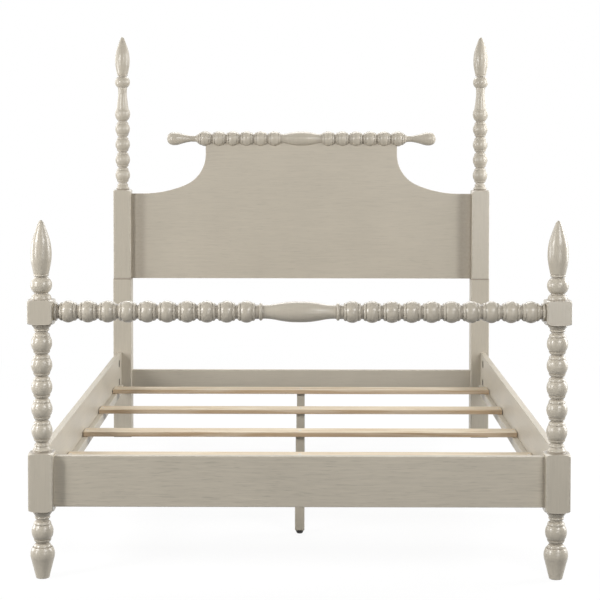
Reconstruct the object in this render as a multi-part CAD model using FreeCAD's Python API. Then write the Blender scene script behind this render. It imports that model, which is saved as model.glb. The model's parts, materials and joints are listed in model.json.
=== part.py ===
import FreeCAD, Part
import math
import os

V = FreeCAD.Vector
ORIGIN = V(0, 0, 0)
UP = V(0, 0, 1)

# Bed for one standard mattress. Lengths in mm, angles in degrees, floor at zero height.
# The foot of the bed is at -Y, the head at +Y, left at -X.
MATTRESS_WIDTH = 1524.0
MATTRESS_LENGTH = 2032.0
MATTRESS_SIDE_ROOM = 17.0
MATTRESS_END_ROOM = 19.5

# Square stock.
POST_SQUARE = 75.0
LEG_SQUARE = 78.0
POST_EASE = 4.0
BOARD_EASE = 2.5
SEAM_CHAMFER = 1.5

# Side rails, ledgers, slats and the boards at head and foot.
RAIL_THICKNESS = 22.0
RAIL_SET_IN = 12.0
RAIL_BOTTOM = 216.0
RAIL_HEIGHT = 155.0
LEDGER_WIDTH = 20.0
LEDGER_HEIGHT = 32.0
LEDGER_LIFT = 1.0
LEDGER_SET_BACK = 115.0
SLAT_WIDTH = 76.0
SLAT_THICKNESS = 17.0
SLAT_END_GAP = 3.0
SLAT_EASE = 2.0
SLAT_SHARES = (0.233, 0.429, 0.641, 0.855)
FOOT_BOARD_BOTTOM = 218.0
FOOT_BOARD_HEIGHT = 155.0
FOOT_BOARD_THICKNESS = 22.0
STRETCHER_BOTTOM = 190.0
STRETCHER_HEIGHT = 100.5
STRETCHER_THICKNESS = 20.0
HOUSING_DEPTH = 10.0

# Heights of the turned sections of a foot post, from the floor up.
FOOT_HEIGHT = 107.5
LOW_BALL_HEIGHT = 68.0
LOW_COLLAR_HEIGHT = 31.0
LOW_BLOCK_HEIGHT = 177.0
MID_COLLAR_HEIGHT = 29.5
POST_BOBBIN_PITCH = 66.5
FOOT_POST_BOBBINS = 5
HIGH_COLLAR_HEIGHT = 25.5
HIGH_BLOCK_HEIGHT = 74.0
CUP_HEIGHT = 18.0
TOP_BALL_HEIGHT = 49.0
FINIAL_HEIGHT = 172.0

# Headboard.
HEAD_LEG_HEIGHT = 691.0
SQUARE_ABOVE_PANEL = 15.7
HEAD_COLLAR_HEIGHT = 31.0
HEAD_POST_BOBBINS = 4
BOTTLE_HEIGHT = 145.0
PANEL_THICKNESS = 20.0
PANEL_SIDE_HEIGHT = 368.3
SCOOP_HEIGHT = 238.2
SCOOP_RISE_SHARE = 0.7166
SCOOP_TIGHT_SHARE = 0.8494
SCOOP_REACH_SHARE = 0.84
PANEL_NECK_SHARE = 0.562
CREST_COVER = 10.0

# Radii of the turning.
NECK_RADIUS = 19.0
COLLAR_RADIUS = 33.0
POMMEL_FOOT_RADIUS = 34.0
POMMEL_LENGTH = 14.0
FOOT_RADIUS = 36.8
LOW_BALL_RADIUS = 33.0
TOP_BALL_RADIUS = 32.4
FINIAL_RADIUS = 31.5
BOTTLE_RADIUS = 32.8
POST_BOBBIN_RADIUS = 31.7
RAIL_BOBBIN_RADIUS = 33.0
RAIL_BOBBIN_PITCH = 60.2
FOOT_VASE_RADIUS = 31.4
FOOT_VASE_LENGTH = 213.0
FOOT_VASE_RING_LENGTH = 22.5
CREST_VASE_RADIUS = 31.3
CREST_VASE_LENGTH = 173.0
CREST_BOBBINS = 6
HANDLE_LENGTH = 135.0
HANDLE_RADIUS = 28.8
RAIL_END_LENGTH = 13.5
TENON_RADIUS = 14.0
TENON_LENGTH = 28.0

# Each bobbin as shares of its largest radius and of its length: groove, lip, cap, shoulder, ball.
POST_BOBBIN_SHARES = {"neck": 0.585, "lip": 0.66, "cap": 0.8, "shoulder": 0.75,
                      "groove": 0.035, "rim": 0.163}
RAIL_BOBBIN_SHARES = {"neck": 0.66, "lip": 0.74, "cap": 0.84, "shoulder": 0.79,
                      "groove": 0.07, "rim": 0.195}
CAP_SWELL_SHARE = 0.72
CAP_MIDDLE_SHARE = 0.42

# Profiles drawn as (radius share, height share), from the lower or outer end.
FOOT_SHARES = {"pad": (0.49, 0.0), "pad_edge": (0.545, 0.008), "pad_top": (0.56, 0.03),
               "swell": (0.955, 0.56), "belly": (1.0, 0.69), "brow": (0.83, 0.875),
               "step": (0.735, 0.875), "cap": (0.69, 0.93), "lip": (0.6, 0.97), "neck": (0.545, 0.97)}
COLLAR_SHARES = {"foot": (1.0, 0.0), "cove": (0.85, 0.03), "ring_a": (0.815, 0.09), "ring_b": (0.868, 0.2),
                 "ring_c": (0.82, 0.31), "cone": (0.73, 0.45), "cone_top": (0.655, 0.61),
                 "bead_a": (0.68, 0.61), "bead_b": (0.705, 0.72), "bead_c": (0.65, 0.83),
                 "lip_a": (0.6, 0.83), "lip_b": (0.585, 0.88), "lip_c": (0.576, 0.94)}
CUP_SHARES = {"foot": (1.0, 0.0), "cove": (0.935, 0.04), "rim_a": (0.92, 0.12), "rim_b": (0.87, 0.5),
              "rim_c": (0.74, 0.84), "step": (0.64, 0.88)}
TOP_BALL_SHARES = {"neck": 0.63, "lip": 0.68, "groove": 0.05}
FINIAL_RING_SHARES = {"neck": 0.54, "neck_top": 0.017, "ring": 0.69, "ring_swell": 0.735, "ring_top": 0.052}
FINIAL_SHARES = ((0.755, 0.07), (0.854, 0.163), (0.965, 0.279), (1.0, 0.395), (0.968, 0.512), (0.863, 0.628),
                 (0.673, 0.744), (0.451, 0.86), (0.305, 0.93), (0.14, 0.983), (0.0, 1.0))
BOTTLE_SHARES = {"neck": (0.58, 0.014), "lip": (0.63, 0.018), "belly": (1.0, 0.207),
                 "shoulder": (0.85, 0.355), "step": (0.815, 0.355), "stem": (0.575, 0.78),
                 "stem_top": (0.575, 0.93), "top": (0.61, 0.985)}
BOTTLE_TAPER_SHARES = ((0.72, 0.5), (0.645, 0.64))
VASE_SHARES = ((0.66, 0.0), (0.675, 0.06), (0.74, 0.14), (0.84, 0.22), (0.925, 0.3), (0.985, 0.39),
               (1.0, 0.5))
RING_SHARES = {"valley": (0.66, 0.0), "rim": (0.7, 0.2), "crown": (0.845, 0.42), "back": (0.74, 0.62)}
HANDLE_COVE_SHARES = ((0.74, 0.0), (0.52, 0.055), (0.462, 0.145), (0.458, 0.235))
HANDLE_SHARES = ((0.458, 0.235), (0.604, 0.393), (0.774, 0.526), (0.944, 0.652), (1.0, 0.763),
                 (0.955, 0.844), (0.78, 0.926), (0.45, 0.981), (0.0, 1.0))
RAIL_END_SHARES = {"lip": (0.82, 0.3), "swell": (0.86, 0.62), "rim": (0.8, 1.0)}

# Support legs with levelling glides.
SUPPORT_SQUARE = 32.0
SUPPORT_EASE = 2.0
SUPPORT_GROUND_GAP = 13.0
GLIDE_HEIGHT = 9.0
GLIDE_TOP_RADIUS = 13.0
GLIDE_FOOT_RADIUS = 9.5
GLIDE_EASE = 1.2
STUD_RADIUS = 3.9
STUD_SEAT = 3.0
STUD_LENGTH = 40.0
STUD_TIP_CHAMFER = 0.8
INSERT_RADIUS = 6.5
INSERT_LENGTH = 15.0
INSERT_FLANGE_RADIUS = 8.5
INSERT_FLANGE_THICKNESS = 1.5
STUD_CLEARANCE = 0.3
STUD_WELL_DEPTH = 45.0

# Fasteners.
BOLT_RADIUS = 4.0
BOLT_CLEARANCE = 0.5
BOLT_IN_POST = 55.0
BOLT_SPREAD = 80.0
BOLT_SET_IN = 9.0
BOLT_END_CHAMFER = 0.8
POCKET_RADIUS = 17.5
POCKET_DEPTH = 17.5
POCKET_FROM_END = 84.0
WASHER_THICKNESS = 6.0
WASHER_WIDTH = 14.0
NUT_FLATS = 13.0
NUT_HEIGHT = 6.5
NUT_CHAMFER = 0.7
BOLT_PROJECTION = 3.0
SCREW_HEAD_RADIUS = 4.5
SCREW_HEAD_DEPTH = 3.2
SCREW_RADIUS = 2.1
SCREW_TIP_LENGTH = 5.0
SLAT_SCREW_LENGTH = 40.0
LEDGER_SCREW_LENGTH = 36.0
LEG_SCREW_LENGTH = 80.0
LEG_SCREW_RADIUS = 3.0
LEG_SCREW_HEAD_RADIUS = 6.2
LEDGER_SCREWS = 6
LEDGER_SCREW_MARGIN = 60.0
DOWEL_RADIUS = 5.0
DOWEL_LENGTH = 60.0
DOWEL_SPREAD = 36.0
DOWEL_CHAMFER = 1.0

OVERRUN = 5.0
TOUCH = 1e-6
FULL_TURN = math.degrees(math.tau)
QUARTER_TURN = FULL_TURN / 4
HEX_SIDES = 6

# Places that follow from the sizes above.
RAIL_LENGTH = MATTRESS_LENGTH + MATTRESS_END_ROOM
RAIL_INNER_X = MATTRESS_WIDTH / 2 + MATTRESS_SIDE_ROOM
POST_X = RAIL_INNER_X + RAIL_THICKNESS + RAIL_SET_IN - POST_SQUARE / 2
POST_INNER_X = POST_X - POST_SQUARE / 2
LEG_INNER_X = POST_X - LEG_SQUARE / 2
POST_SPACING = RAIL_LENGTH + POST_SQUARE / 2 + LEG_SQUARE / 2
FOOT_Y = -(POST_SPACING + (LEG_SQUARE - POST_SQUARE) / 2) / 2
HEAD_Y = FOOT_Y + POST_SPACING
RAIL_START_Y = FOOT_Y + POST_SQUARE / 2
RAIL_END_Y = RAIL_START_Y + RAIL_LENGTH
LEDGER_TOP = RAIL_BOTTOM + LEDGER_LIFT + LEDGER_HEIGHT
SLAT_TOP = LEDGER_TOP + SLAT_THICKNESS
LOW_BLOCK_BOTTOM = FOOT_HEIGHT + LOW_BALL_HEIGHT + LOW_COLLAR_HEIGHT
HIGH_BLOCK_BOTTOM = (LOW_BLOCK_BOTTOM + LOW_BLOCK_HEIGHT + MID_COLLAR_HEIGHT
                     + FOOT_POST_BOBBINS * POST_BOBBIN_PITCH + HIGH_COLLAR_HEIGHT)
FOOT_RAIL_HEIGHT = HIGH_BLOCK_BOTTOM + HIGH_BLOCK_HEIGHT / 2
PANEL_BOTTOM = HEAD_LEG_HEIGHT
PANEL_SHOULDER = PANEL_BOTTOM + PANEL_SIDE_HEIGHT
PANEL_NECK_X = POST_INNER_X * PANEL_NECK_SHARE
CREST_HEIGHT = PANEL_SHOULDER + SCOOP_HEIGHT
PANEL_TOP = CREST_HEIGHT - CREST_COVER
SCOOP_RISE = SCOOP_HEIGHT * SCOOP_RISE_SHARE
BOLT_X = RAIL_INNER_X + BOLT_SET_IN
RAIL_MIDDLE = RAIL_BOTTOM + RAIL_HEIGHT / 2
BOLT_HEIGHTS = (RAIL_MIDDLE - BOLT_SPREAD / 2, RAIL_MIDDLE + BOLT_SPREAD / 2)
SLAT_YS = [RAIL_START_Y + RAIL_LENGTH * share for share in SLAT_SHARES]


def scaled(point, radius, height):
    """Profile point of a (radius share, height share) pair."""
    return (point[0] * radius, point[1] * height)


def shifted(pieces, rise):
    return [[(r, z + rise) for r, z in piece] for piece in pieces]


def flipped(pieces, height):
    return [[(r, height - z) for r, z in reversed(piece)] for piece in reversed(pieces)]


def turned_over(element):
    pieces, height = element
    return flipped(pieces, height), height


def stack(elements):
    """Profile pieces of all the elements, each set on top of the one before."""
    chain = []
    rise = 0
    for pieces, height in elements:
        chain += shifted(pieces, rise)
        rise += height
    return chain


def profile_edge(piece):
    """Two points make a line, three an arc, more a smooth curve."""
    points = [V(r, 0, z) for r, z in piece]
    if len(points) == 2:
        return Part.makeLine(*points)
    if len(points) == 3:
        return Part.Arc(*points).toShape()
    curve = Part.BSplineCurve()
    curve.interpolate(points)
    return curve.toShape()


def turned(chain):
    """Solid of revolution about Z of a chain of profile pieces, steps between pieces filled in."""
    joined = [chain[0]]
    for piece in chain[1:]:
        last = joined[-1][-1]
        if math.dist(last, piece[0]) > TOUCH:
            joined.append([last, piece[0]])
        joined.append(piece)
    first = joined[0][0]
    last = joined[-1][-1]
    if first[0] > TOUCH:
        joined.insert(0, [(0, first[1]), first])
    if last[0] > TOUCH:
        joined.append([last, (0, last[1])])
    joined.append([(0, last[1]), (0, first[1])])
    wire = Part.Wire([profile_edge(piece) for piece in joined])
    return Part.Face(wire).revolve(ORIGIN, UP, FULL_TURN)


def box(x0, x1, y0, y1, z0, z1):
    return Part.makeBox(x1 - x0, y1 - y0, z1 - z0, V(x0, y0, z0))


def edges_along(shape, axis):
    found = []
    for edge in shape.Edges:
        run = edge.Vertexes[-1].Point - edge.Vertexes[0].Point
        if run.Length > TOUCH and abs(run.normalize().dot(axis)) > 1 - TOUCH:
            found.append(edge)
    return found


def eased(shape, axis, radius):
    return shape.makeFillet(radius, edges_along(shape, axis))


def mirrored(shape):
    return shape.mirror(ORIGIN, V(1, 0, 0))


def rod(radius, length, start, axis):
    return Part.makeCylinder(radius, length, start, axis)


def group(solids):
    return Part.makeCompound(solids)


def save(name, shape):
    shape.exportStep("parts/" + name + ".step")


# Turned sections. Each returns its profile pieces and its height.
def bobbin(pitch, radius, shares):
    """Ball with a small rounded cap and a fillet step at each end, between two grooves."""
    neck, lip, cap, shoulder = (radius * shares[key] for key in ("neck", "lip", "cap", "shoulder"))
    groove = pitch * shares["groove"]
    rim = pitch * shares["rim"]
    swell = (lip + (cap - lip) * CAP_SWELL_SHARE, groove + (rim - groove) * CAP_MIDDLE_SHARE)
    lower = [[(neck, 0), (neck, groove)], [(lip, groove), swell, (cap, rim)]]
    ball = [[(shoulder, rim), (radius, pitch / 2), (shoulder, pitch - rim)]]
    return lower + ball + flipped(lower, pitch), pitch


def bobbins(count, pitch, radius, shares):
    return [bobbin(pitch, radius, shares) for _ in range(count)]


def turnip_foot():
    at = {key: scaled(point, FOOT_RADIUS, FOOT_HEIGHT) for key, point in FOOT_SHARES.items()}
    pieces = [[(0, 0), at["pad"]], [at["pad"], at["pad_edge"], at["pad_top"]], [at["pad_top"], at["swell"]],
              [at["swell"], at["belly"], at["brow"]], [at["step"], at["cap"], at["lip"]],
              [at["neck"], (at["neck"][0], FOOT_HEIGHT)]]
    return pieces, FOOT_HEIGHT


def collar(height):
    """Narrow ring, cone and bead that lead from a square block to the first groove above it."""
    at = {key: scaled(point, COLLAR_RADIUS, height) for key, point in COLLAR_SHARES.items()}
    pieces = [[at["foot"], at["cove"], at["ring_a"]], [at["ring_a"], at["ring_b"], at["ring_c"]],
              [at["ring_c"], at["cone"], at["cone_top"]], [at["bead_a"], at["bead_b"], at["bead_c"]],
              [at["lip_a"], at["lip_b"], at["lip_c"]], [at["lip_c"], (NECK_RADIUS, height)]]
    return pieces, height


def cup():
    """Short flared cup between the high block and the ball under the finial."""
    at = {key: scaled(point, COLLAR_RADIUS, CUP_HEIGHT) for key, point in CUP_SHARES.items()}
    pieces = [[at["foot"], at["cove"], at["rim_a"]], [at["rim_a"], at["rim_b"], at["rim_c"]],
              [at["rim_c"], at["step"]], [at["step"], (at["step"][0], CUP_HEIGHT)]]
    return pieces, CUP_HEIGHT


def block(height, pommel_below):
    """Length of square stock: the turning swells past the corners, with a rounded shoulder at its ends."""
    corner = math.hypot(POST_SQUARE, POST_SQUARE) / 2 + OVERRUN / 2
    middle = math.radians(QUARTER_TURN / 2)
    reach = corner - POMMEL_FOOT_RADIUS
    swell = (POMMEL_FOOT_RADIUS + reach * math.sin(middle), POMMEL_LENGTH * (1 - math.cos(middle)))
    shoulder = [[(POMMEL_FOOT_RADIUS, 0), swell, (corner, POMMEL_LENGTH)]]
    start = shoulder if pommel_below else [[(0, 0), (corner, 0)]]
    return start + flipped(shoulder, height), height


def top_ball():
    neck, lip = (TOP_BALL_RADIUS * TOP_BALL_SHARES[key] for key in ("neck", "lip"))
    groove = TOP_BALL_HEIGHT * TOP_BALL_SHARES["groove"]
    lower = [[(neck, 0), (neck, groove)]]
    ball = [[(lip, groove), (TOP_BALL_RADIUS, TOP_BALL_HEIGHT / 2), (lip, TOP_BALL_HEIGHT - groove)]]
    return lower + ball + flipped(lower, TOP_BALL_HEIGHT), TOP_BALL_HEIGHT


def finial():
    """Torpedo on a small ring."""
    neck, ring, swell = (FINIAL_RADIUS * FINIAL_RING_SHARES[key] for key in ("neck", "ring", "ring_swell"))
    neck_top, ring_top = (FINIAL_HEIGHT * FINIAL_RING_SHARES[key] for key in ("neck_top", "ring_top"))
    body = [scaled(point, FINIAL_RADIUS, FINIAL_HEIGHT) for point in FINIAL_SHARES]
    middle = (neck_top + ring_top) / 2
    pieces = [[(neck, 0), (neck, neck_top)], [(ring, neck_top), (swell, middle), (ring, ring_top)],
              [(ring, ring_top), body[0]], body]
    return pieces, FINIAL_HEIGHT


def bottle():
    """Round-bellied vase with a long slender stem."""
    at = {key: scaled(point, BOTTLE_RADIUS, BOTTLE_HEIGHT) for key, point in BOTTLE_SHARES.items()}
    taper = [scaled(point, BOTTLE_RADIUS, BOTTLE_HEIGHT) for point in BOTTLE_TAPER_SHARES]
    pieces = [[(at["neck"][0], 0), at["neck"]], [at["lip"], at["belly"], at["shoulder"]],
              [at["step"]] + taper + [at["stem"]], [at["stem"], at["stem_top"]],
              [at["stem_top"], at["top"]], [at["top"], (at["top"][0], BOTTLE_HEIGHT)]]
    return pieces, BOTTLE_HEIGHT


def vase(length, radius):
    """Long vase at the middle of a rail, the same towards both ends."""
    rise = [scaled(point, radius, length) for point in VASE_SHARES]
    fall = [(r, length - z) for r, z in reversed(rise[:-1])]
    return [rise + fall], length


def vase_ring():
    """Narrow ring between the foot rail's vase and its first bobbin."""
    at = {key: scaled(point, FOOT_VASE_RADIUS, FOOT_VASE_RING_LENGTH) for key, point in RING_SHARES.items()}
    neck = RAIL_BOBBIN_RADIUS * RAIL_BOBBIN_SHARES["neck"]
    pieces = [[at["valley"], at["rim"]], [at["rim"], at["crown"], at["back"]],
              [(neck, at["back"][1]), (neck, FOOT_VASE_RING_LENGTH)]]
    return pieces, FOOT_VASE_RING_LENGTH


def handle():
    """Club-shaped handle on the crest rail's end."""
    cove = [scaled(point, HANDLE_RADIUS, HANDLE_LENGTH) for point in HANDLE_COVE_SHARES]
    body = [scaled(point, HANDLE_RADIUS, HANDLE_LENGTH) for point in HANDLE_SHARES]
    return [cove, body], HANDLE_LENGTH


def rail_end():
    """Swelling where the foot rail meets its block, with the round tenon beyond."""
    at = {key: scaled(point, RAIL_BOBBIN_RADIUS, RAIL_END_LENGTH) for key, point in RAIL_END_SHARES.items()}
    neck = RAIL_BOBBIN_RADIUS * RAIL_BOBBIN_SHARES["neck"]
    pieces = [[(neck, 0), (neck, at["lip"][1])], [at["lip"], at["swell"], at["rim"]],
              [(TENON_RADIUS, RAIL_END_LENGTH), (TENON_RADIUS, RAIL_END_LENGTH + TENON_LENGTH)]]
    return pieces, RAIL_END_LENGTH + TENON_LENGTH


def fitted_bobbins(room):
    """As many rail bobbins as come nearest to the usual pitch, stretched to fill the room."""
    count = max(1, round(room / RAIL_BOBBIN_PITCH))
    return bobbins(count, room / count, RAIL_BOBBIN_RADIUS, RAIL_BOBBIN_SHARES)


def lathe_rail(arm, middle):
    """Turned rail along X from one arm, listed from the middle outwards, and the piece at its middle."""
    elements = [turned_over(element) for element in reversed(arm)] + [middle] + arm
    length = sum(height for _, height in elements)
    rail = turned(stack(elements))
    rail.translate(V(0, 0, -length / 2))
    rail.rotate(ORIGIN, V(0, 1, 0), QUARTER_TURN)
    return rail


def foot_rail():
    room = POST_INNER_X - RAIL_END_LENGTH - FOOT_VASE_LENGTH / 2 - FOOT_VASE_RING_LENGTH
    arm = [vase_ring()] + fitted_bobbins(room) + [rail_end()]
    rail = lathe_rail(arm, vase(FOOT_VASE_LENGTH, FOOT_VASE_RADIUS))
    rail.translate(V(0, FOOT_Y, FOOT_RAIL_HEIGHT))
    return rail


def crest_rail():
    arm = bobbins(CREST_BOBBINS, RAIL_BOBBIN_PITCH, RAIL_BOBBIN_RADIUS, RAIL_BOBBIN_SHARES) + [handle()]
    rail = lathe_rail(arm, vase(CREST_VASE_LENGTH, CREST_VASE_RADIUS))
    rail.translate(V(0, HEAD_Y, CREST_HEIGHT))
    return rail


def square_stock(size, height):
    half = size / 2
    return eased(box(-half, half, -half, half, 0, height), UP, POST_EASE)


def foot_post():
    post_bobbins = bobbins(FOOT_POST_BOBBINS, POST_BOBBIN_PITCH, POST_BOBBIN_RADIUS, POST_BOBBIN_SHARES)
    low_ball = bobbin(LOW_BALL_HEIGHT, LOW_BALL_RADIUS, POST_BOBBIN_SHARES)
    elements = [turnip_foot(), low_ball, turned_over(collar(LOW_COLLAR_HEIGHT))]
    elements += [block(LOW_BLOCK_HEIGHT, True), collar(MID_COLLAR_HEIGHT)] + post_bobbins
    elements += [turned_over(collar(HIGH_COLLAR_HEIGHT)), block(HIGH_BLOCK_HEIGHT, True)]
    elements += [cup(), top_ball(), finial()]
    height = sum(rise for _, rise in elements)
    post = turned(stack(elements)).common(square_stock(POST_SQUARE, height + OVERRUN))
    post.translate(V(-POST_X, FOOT_Y, 0))
    return post


def headboard_post():
    post_bobbins = bobbins(HEAD_POST_BOBBINS, POST_BOBBIN_PITCH, POST_BOBBIN_RADIUS, POST_BOBBIN_SHARES)
    square = block(PANEL_SIDE_HEIGHT + SQUARE_ABOVE_PANEL, False)
    elements = [square, collar(HEAD_COLLAR_HEIGHT)] + post_bobbins
    elements += [bottle(), top_ball(), finial()]
    height = sum(rise for _, rise in elements)
    post = turned(stack(elements)).common(square_stock(POST_SQUARE, height + OVERRUN))
    post.translate(V(-POST_X, HEAD_Y, HEAD_LEG_HEIGHT))
    return post


def headboard_leg():
    leg = square_stock(LEG_SQUARE, HEAD_LEG_HEIGHT)
    ends = [edge for edge in leg.Edges if edge.BoundBox.ZLength < TOUCH]
    leg = leg.makeChamfer(SEAM_CHAMFER, ends)
    leg.translate(V(-POST_X, HEAD_Y, 0))
    return leg


def shoulder_points():
    """Middle and end points of the right scoop: a tight arc, then a long one that ends level."""
    tight_radius = SCOOP_RISE * SCOOP_TIGHT_SHARE
    reach = (POST_INNER_X - PANEL_NECK_X) * SCOOP_REACH_SHARE
    spread = reach - tight_radius
    long_radius = (spread ** 2 + SCOOP_RISE ** 2 - tight_radius ** 2) / (SCOOP_RISE - tight_radius) / 2
    tight = V(PANEL_NECK_X + tight_radius, 0, PANEL_SHOULDER + SCOOP_RISE)
    centre = V(PANEL_NECK_X + reach, 0, PANEL_SHOULDER + long_radius)
    towards = (tight - centre).normalize()
    meet = centre + towards * long_radius
    tight_mid = tight + (towards + V(-1, 0, 0)).normalize() * tight_radius
    long_mid = centre + (towards - UP).normalize() * long_radius
    return tight_mid, meet, long_mid, V(centre.x, 0, PANEL_SHOULDER)


def panel_outline():
    tight_mid, meet, long_mid, level = shoulder_points()
    side = POST_INNER_X + HOUSING_DEPTH
    neck_top = V(PANEL_NECK_X, 0, PANEL_TOP)
    neck = V(PANEL_NECK_X, 0, PANEL_SHOULDER + SCOOP_RISE)
    corner = V(side, 0, PANEL_SHOULDER)
    base = V(side, 0, PANEL_BOTTOM)
    half = [Part.makeLine(V(0, 0, PANEL_TOP), neck_top), Part.makeLine(neck_top, neck),
            Part.Arc(neck, tight_mid, meet).toShape(), Part.Arc(meet, long_mid, level).toShape(),
            Part.makeLine(level, corner), Part.makeLine(corner, base),
            Part.makeLine(base, V(0, 0, PANEL_BOTTOM))]
    return Part.Face(Part.Wire(Part.__sortEdges__(half + [mirrored(edge) for edge in half])))


def headboard_panel():
    panel = panel_outline().extrude(V(0, PANEL_THICKNESS, 0))
    panel.translate(V(0, HEAD_Y - PANEL_THICKNESS / 2, 0))
    rim = [edge for edge in panel.Edges if on_shoulder(edge)]
    return panel.makeFillet(BOARD_EASE, rim)


def on_shoulder(edge):
    """True for the face edges that run along a shoulder, from the crest to the post."""
    bounds = edge.BoundBox
    flat = bounds.YLength < TOUCH
    inside = bounds.ZMin > PANEL_SHOULDER - TOUCH and bounds.ZMin < PANEL_TOP - TOUCH
    return flat and inside


def cross_board(half_width, y, thickness, bottom, height):
    board = box(-half_width, half_width, y - thickness / 2, y + thickness / 2, bottom, bottom + height)
    return eased(board, V(1, 0, 0), BOARD_EASE)


def foot_board():
    return cross_board(POST_INNER_X + HOUSING_DEPTH, FOOT_Y, FOOT_BOARD_THICKNESS, FOOT_BOARD_BOTTOM,
                       FOOT_BOARD_HEIGHT)


def headboard_stretcher():
    return cross_board(LEG_INNER_X + HOUSING_DEPTH, HEAD_Y, STRETCHER_THICKNESS, STRETCHER_BOTTOM,
                       STRETCHER_HEIGHT)


def bolt_places():
    """End of the left rail, direction into the rail and height of each of its four bolts."""
    return [(y, inward, z) for y, inward in ((RAIL_START_Y, 1), (RAIL_END_Y, -1)) for z in BOLT_HEIGHTS]


def side_rail():
    rail = box(-RAIL_INNER_X - RAIL_THICKNESS, -RAIL_INNER_X, RAIL_START_Y, RAIL_END_Y,
               RAIL_BOTTOM, RAIL_BOTTOM + RAIL_HEIGHT)
    rail = eased(rail, V(0, 1, 0), BOARD_EASE)
    for y, inward, z in bolt_places():
        pocket_y = y + inward * POCKET_FROM_END
        pocket = rod(POCKET_RADIUS, POCKET_DEPTH + OVERRUN, V(-RAIL_INNER_X + OVERRUN, pocket_y, z),
                     V(-1, 0, 0))
        hole = rod(BOLT_RADIUS + BOLT_CLEARANCE, POCKET_FROM_END + OVERRUN,
                   V(-BOLT_X, y - inward * OVERRUN, z), V(0, inward, 0))
        rail = rail.cut(pocket).cut(hole)
    return rail


def bolt_hole(y, inward, z):
    return rod(BOLT_RADIUS, BOLT_IN_POST + OVERRUN, V(-BOLT_X, y + inward * OVERRUN, z), V(0, -inward, 0))


def rail_bolt(y, inward, z):
    grip = POCKET_FROM_END - POCKET_RADIUS + WASHER_THICKNESS + NUT_HEIGHT + BOLT_PROJECTION
    bolt = rod(BOLT_RADIUS, BOLT_IN_POST + grip, V(-BOLT_X, y - inward * BOLT_IN_POST, z), V(0, inward, 0))
    return bolt.makeChamfer(BOLT_END_CHAMFER, ring_edges(bolt))


def ring_edges(shape):
    return [edge for edge in shape.Edges if isinstance(edge.Curve, Part.Circle)]


def rail_washer(y, inward, z):
    """Curved washer: a slice of the pocket's round, flat towards the nut."""
    centre_y = y + inward * POCKET_FROM_END
    flat_y = centre_y - inward * (POCKET_RADIUS - WASHER_THICKNESS)
    far_y = centre_y - inward * (POCKET_RADIUS + OVERRUN)
    disc = rod(POCKET_RADIUS, WASHER_WIDTH, V(-BOLT_X + WASHER_WIDTH / 2, centre_y, z), V(-1, 0, 0))
    slab = box(-BOLT_X - WASHER_WIDTH, -BOLT_X + WASHER_WIDTH, min(flat_y, far_y), max(flat_y, far_y),
               z - POCKET_RADIUS - OVERRUN, z + POCKET_RADIUS + OVERRUN)
    hole = rod(BOLT_RADIUS, WASHER_THICKNESS + OVERRUN * 2, V(-BOLT_X, flat_y + inward * OVERRUN, z),
               V(0, -inward, 0))
    return disc.common(slab).cut(hole)


def hexagon(radius):
    corners = [V(radius * math.cos(turn), radius * math.sin(turn), 0)
               for turn in (math.tau * i / HEX_SIDES for i in range(HEX_SIDES + 1))]
    return Part.Face(Part.makePolygon(corners))


def nut():
    """Hexagon nut on the Z axis, both ends turned to a cone."""
    corner = NUT_FLATS / 2 / math.cos(math.pi / HEX_SIDES)
    rim = corner - NUT_CHAMFER
    crown = NUT_HEIGHT - NUT_CHAMFER
    cone = turned([[(0, 0), (rim, 0)], [(rim, 0), (corner, NUT_CHAMFER)],
                   [(corner, NUT_CHAMFER), (corner, crown)], [(corner, crown), (rim, NUT_HEIGHT)]])
    body = hexagon(corner).extrude(V(0, 0, NUT_HEIGHT)).common(cone)
    return body.cut(rod(BOLT_RADIUS, NUT_HEIGHT + OVERRUN * 2, V(0, 0, -OVERRUN), UP))


def rail_nut(y, inward, z):
    piece = nut()
    piece.rotate(ORIGIN, V(1, 0, 0), -inward * QUARTER_TURN)
    start = POCKET_FROM_END - POCKET_RADIUS + WASHER_THICKNESS
    piece.translate(V(-BOLT_X, y + inward * start, z))
    return piece


def both_sides(maker):
    solids = [maker(*place) for place in bolt_places()]
    return group(solids + [mirrored(solid) for solid in solids])


def slat_ledger():
    ledger = box(-RAIL_INNER_X, -RAIL_INNER_X + LEDGER_WIDTH, RAIL_START_Y + LEDGER_SET_BACK,
                 RAIL_END_Y - LEDGER_SET_BACK, LEDGER_TOP - LEDGER_HEIGHT, LEDGER_TOP)
    return eased(ledger, V(0, 1, 0), SLAT_EASE)


def slat(y):
    reach = RAIL_INNER_X - SLAT_END_GAP
    board = box(-reach, reach, y - SLAT_WIDTH / 2, y + SLAT_WIDTH / 2, LEDGER_TOP, SLAT_TOP)
    return eased(board, V(1, 0, 0), SLAT_EASE)


def support_leg(y):
    half = SUPPORT_SQUARE / 2
    leg = box(-half, half, y - half, y + half, SUPPORT_GROUND_GAP, LEDGER_TOP)
    leg = eased(leg, UP, SUPPORT_EASE)
    well = rod(STUD_RADIUS + STUD_CLEARANCE, STUD_WELL_DEPTH, V(0, y, SUPPORT_GROUND_GAP), UP)
    return leg.cut(well)


def leg_insert(y):
    """Flanged threaded insert pressed into a support leg's lower end."""
    sleeve = rod(INSERT_RADIUS, INSERT_LENGTH, V(0, y, SUPPORT_GROUND_GAP), UP)
    flange = rod(INSERT_FLANGE_RADIUS, INSERT_FLANGE_THICKNESS, V(0, y, SUPPORT_GROUND_GAP), UP)
    bore = rod(STUD_RADIUS + STUD_CLEARANCE, INSERT_LENGTH + OVERRUN * 2,
               V(0, y, SUPPORT_GROUND_GAP - OVERRUN), UP)
    return sleeve.fuse(flange).cut(bore)


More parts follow.
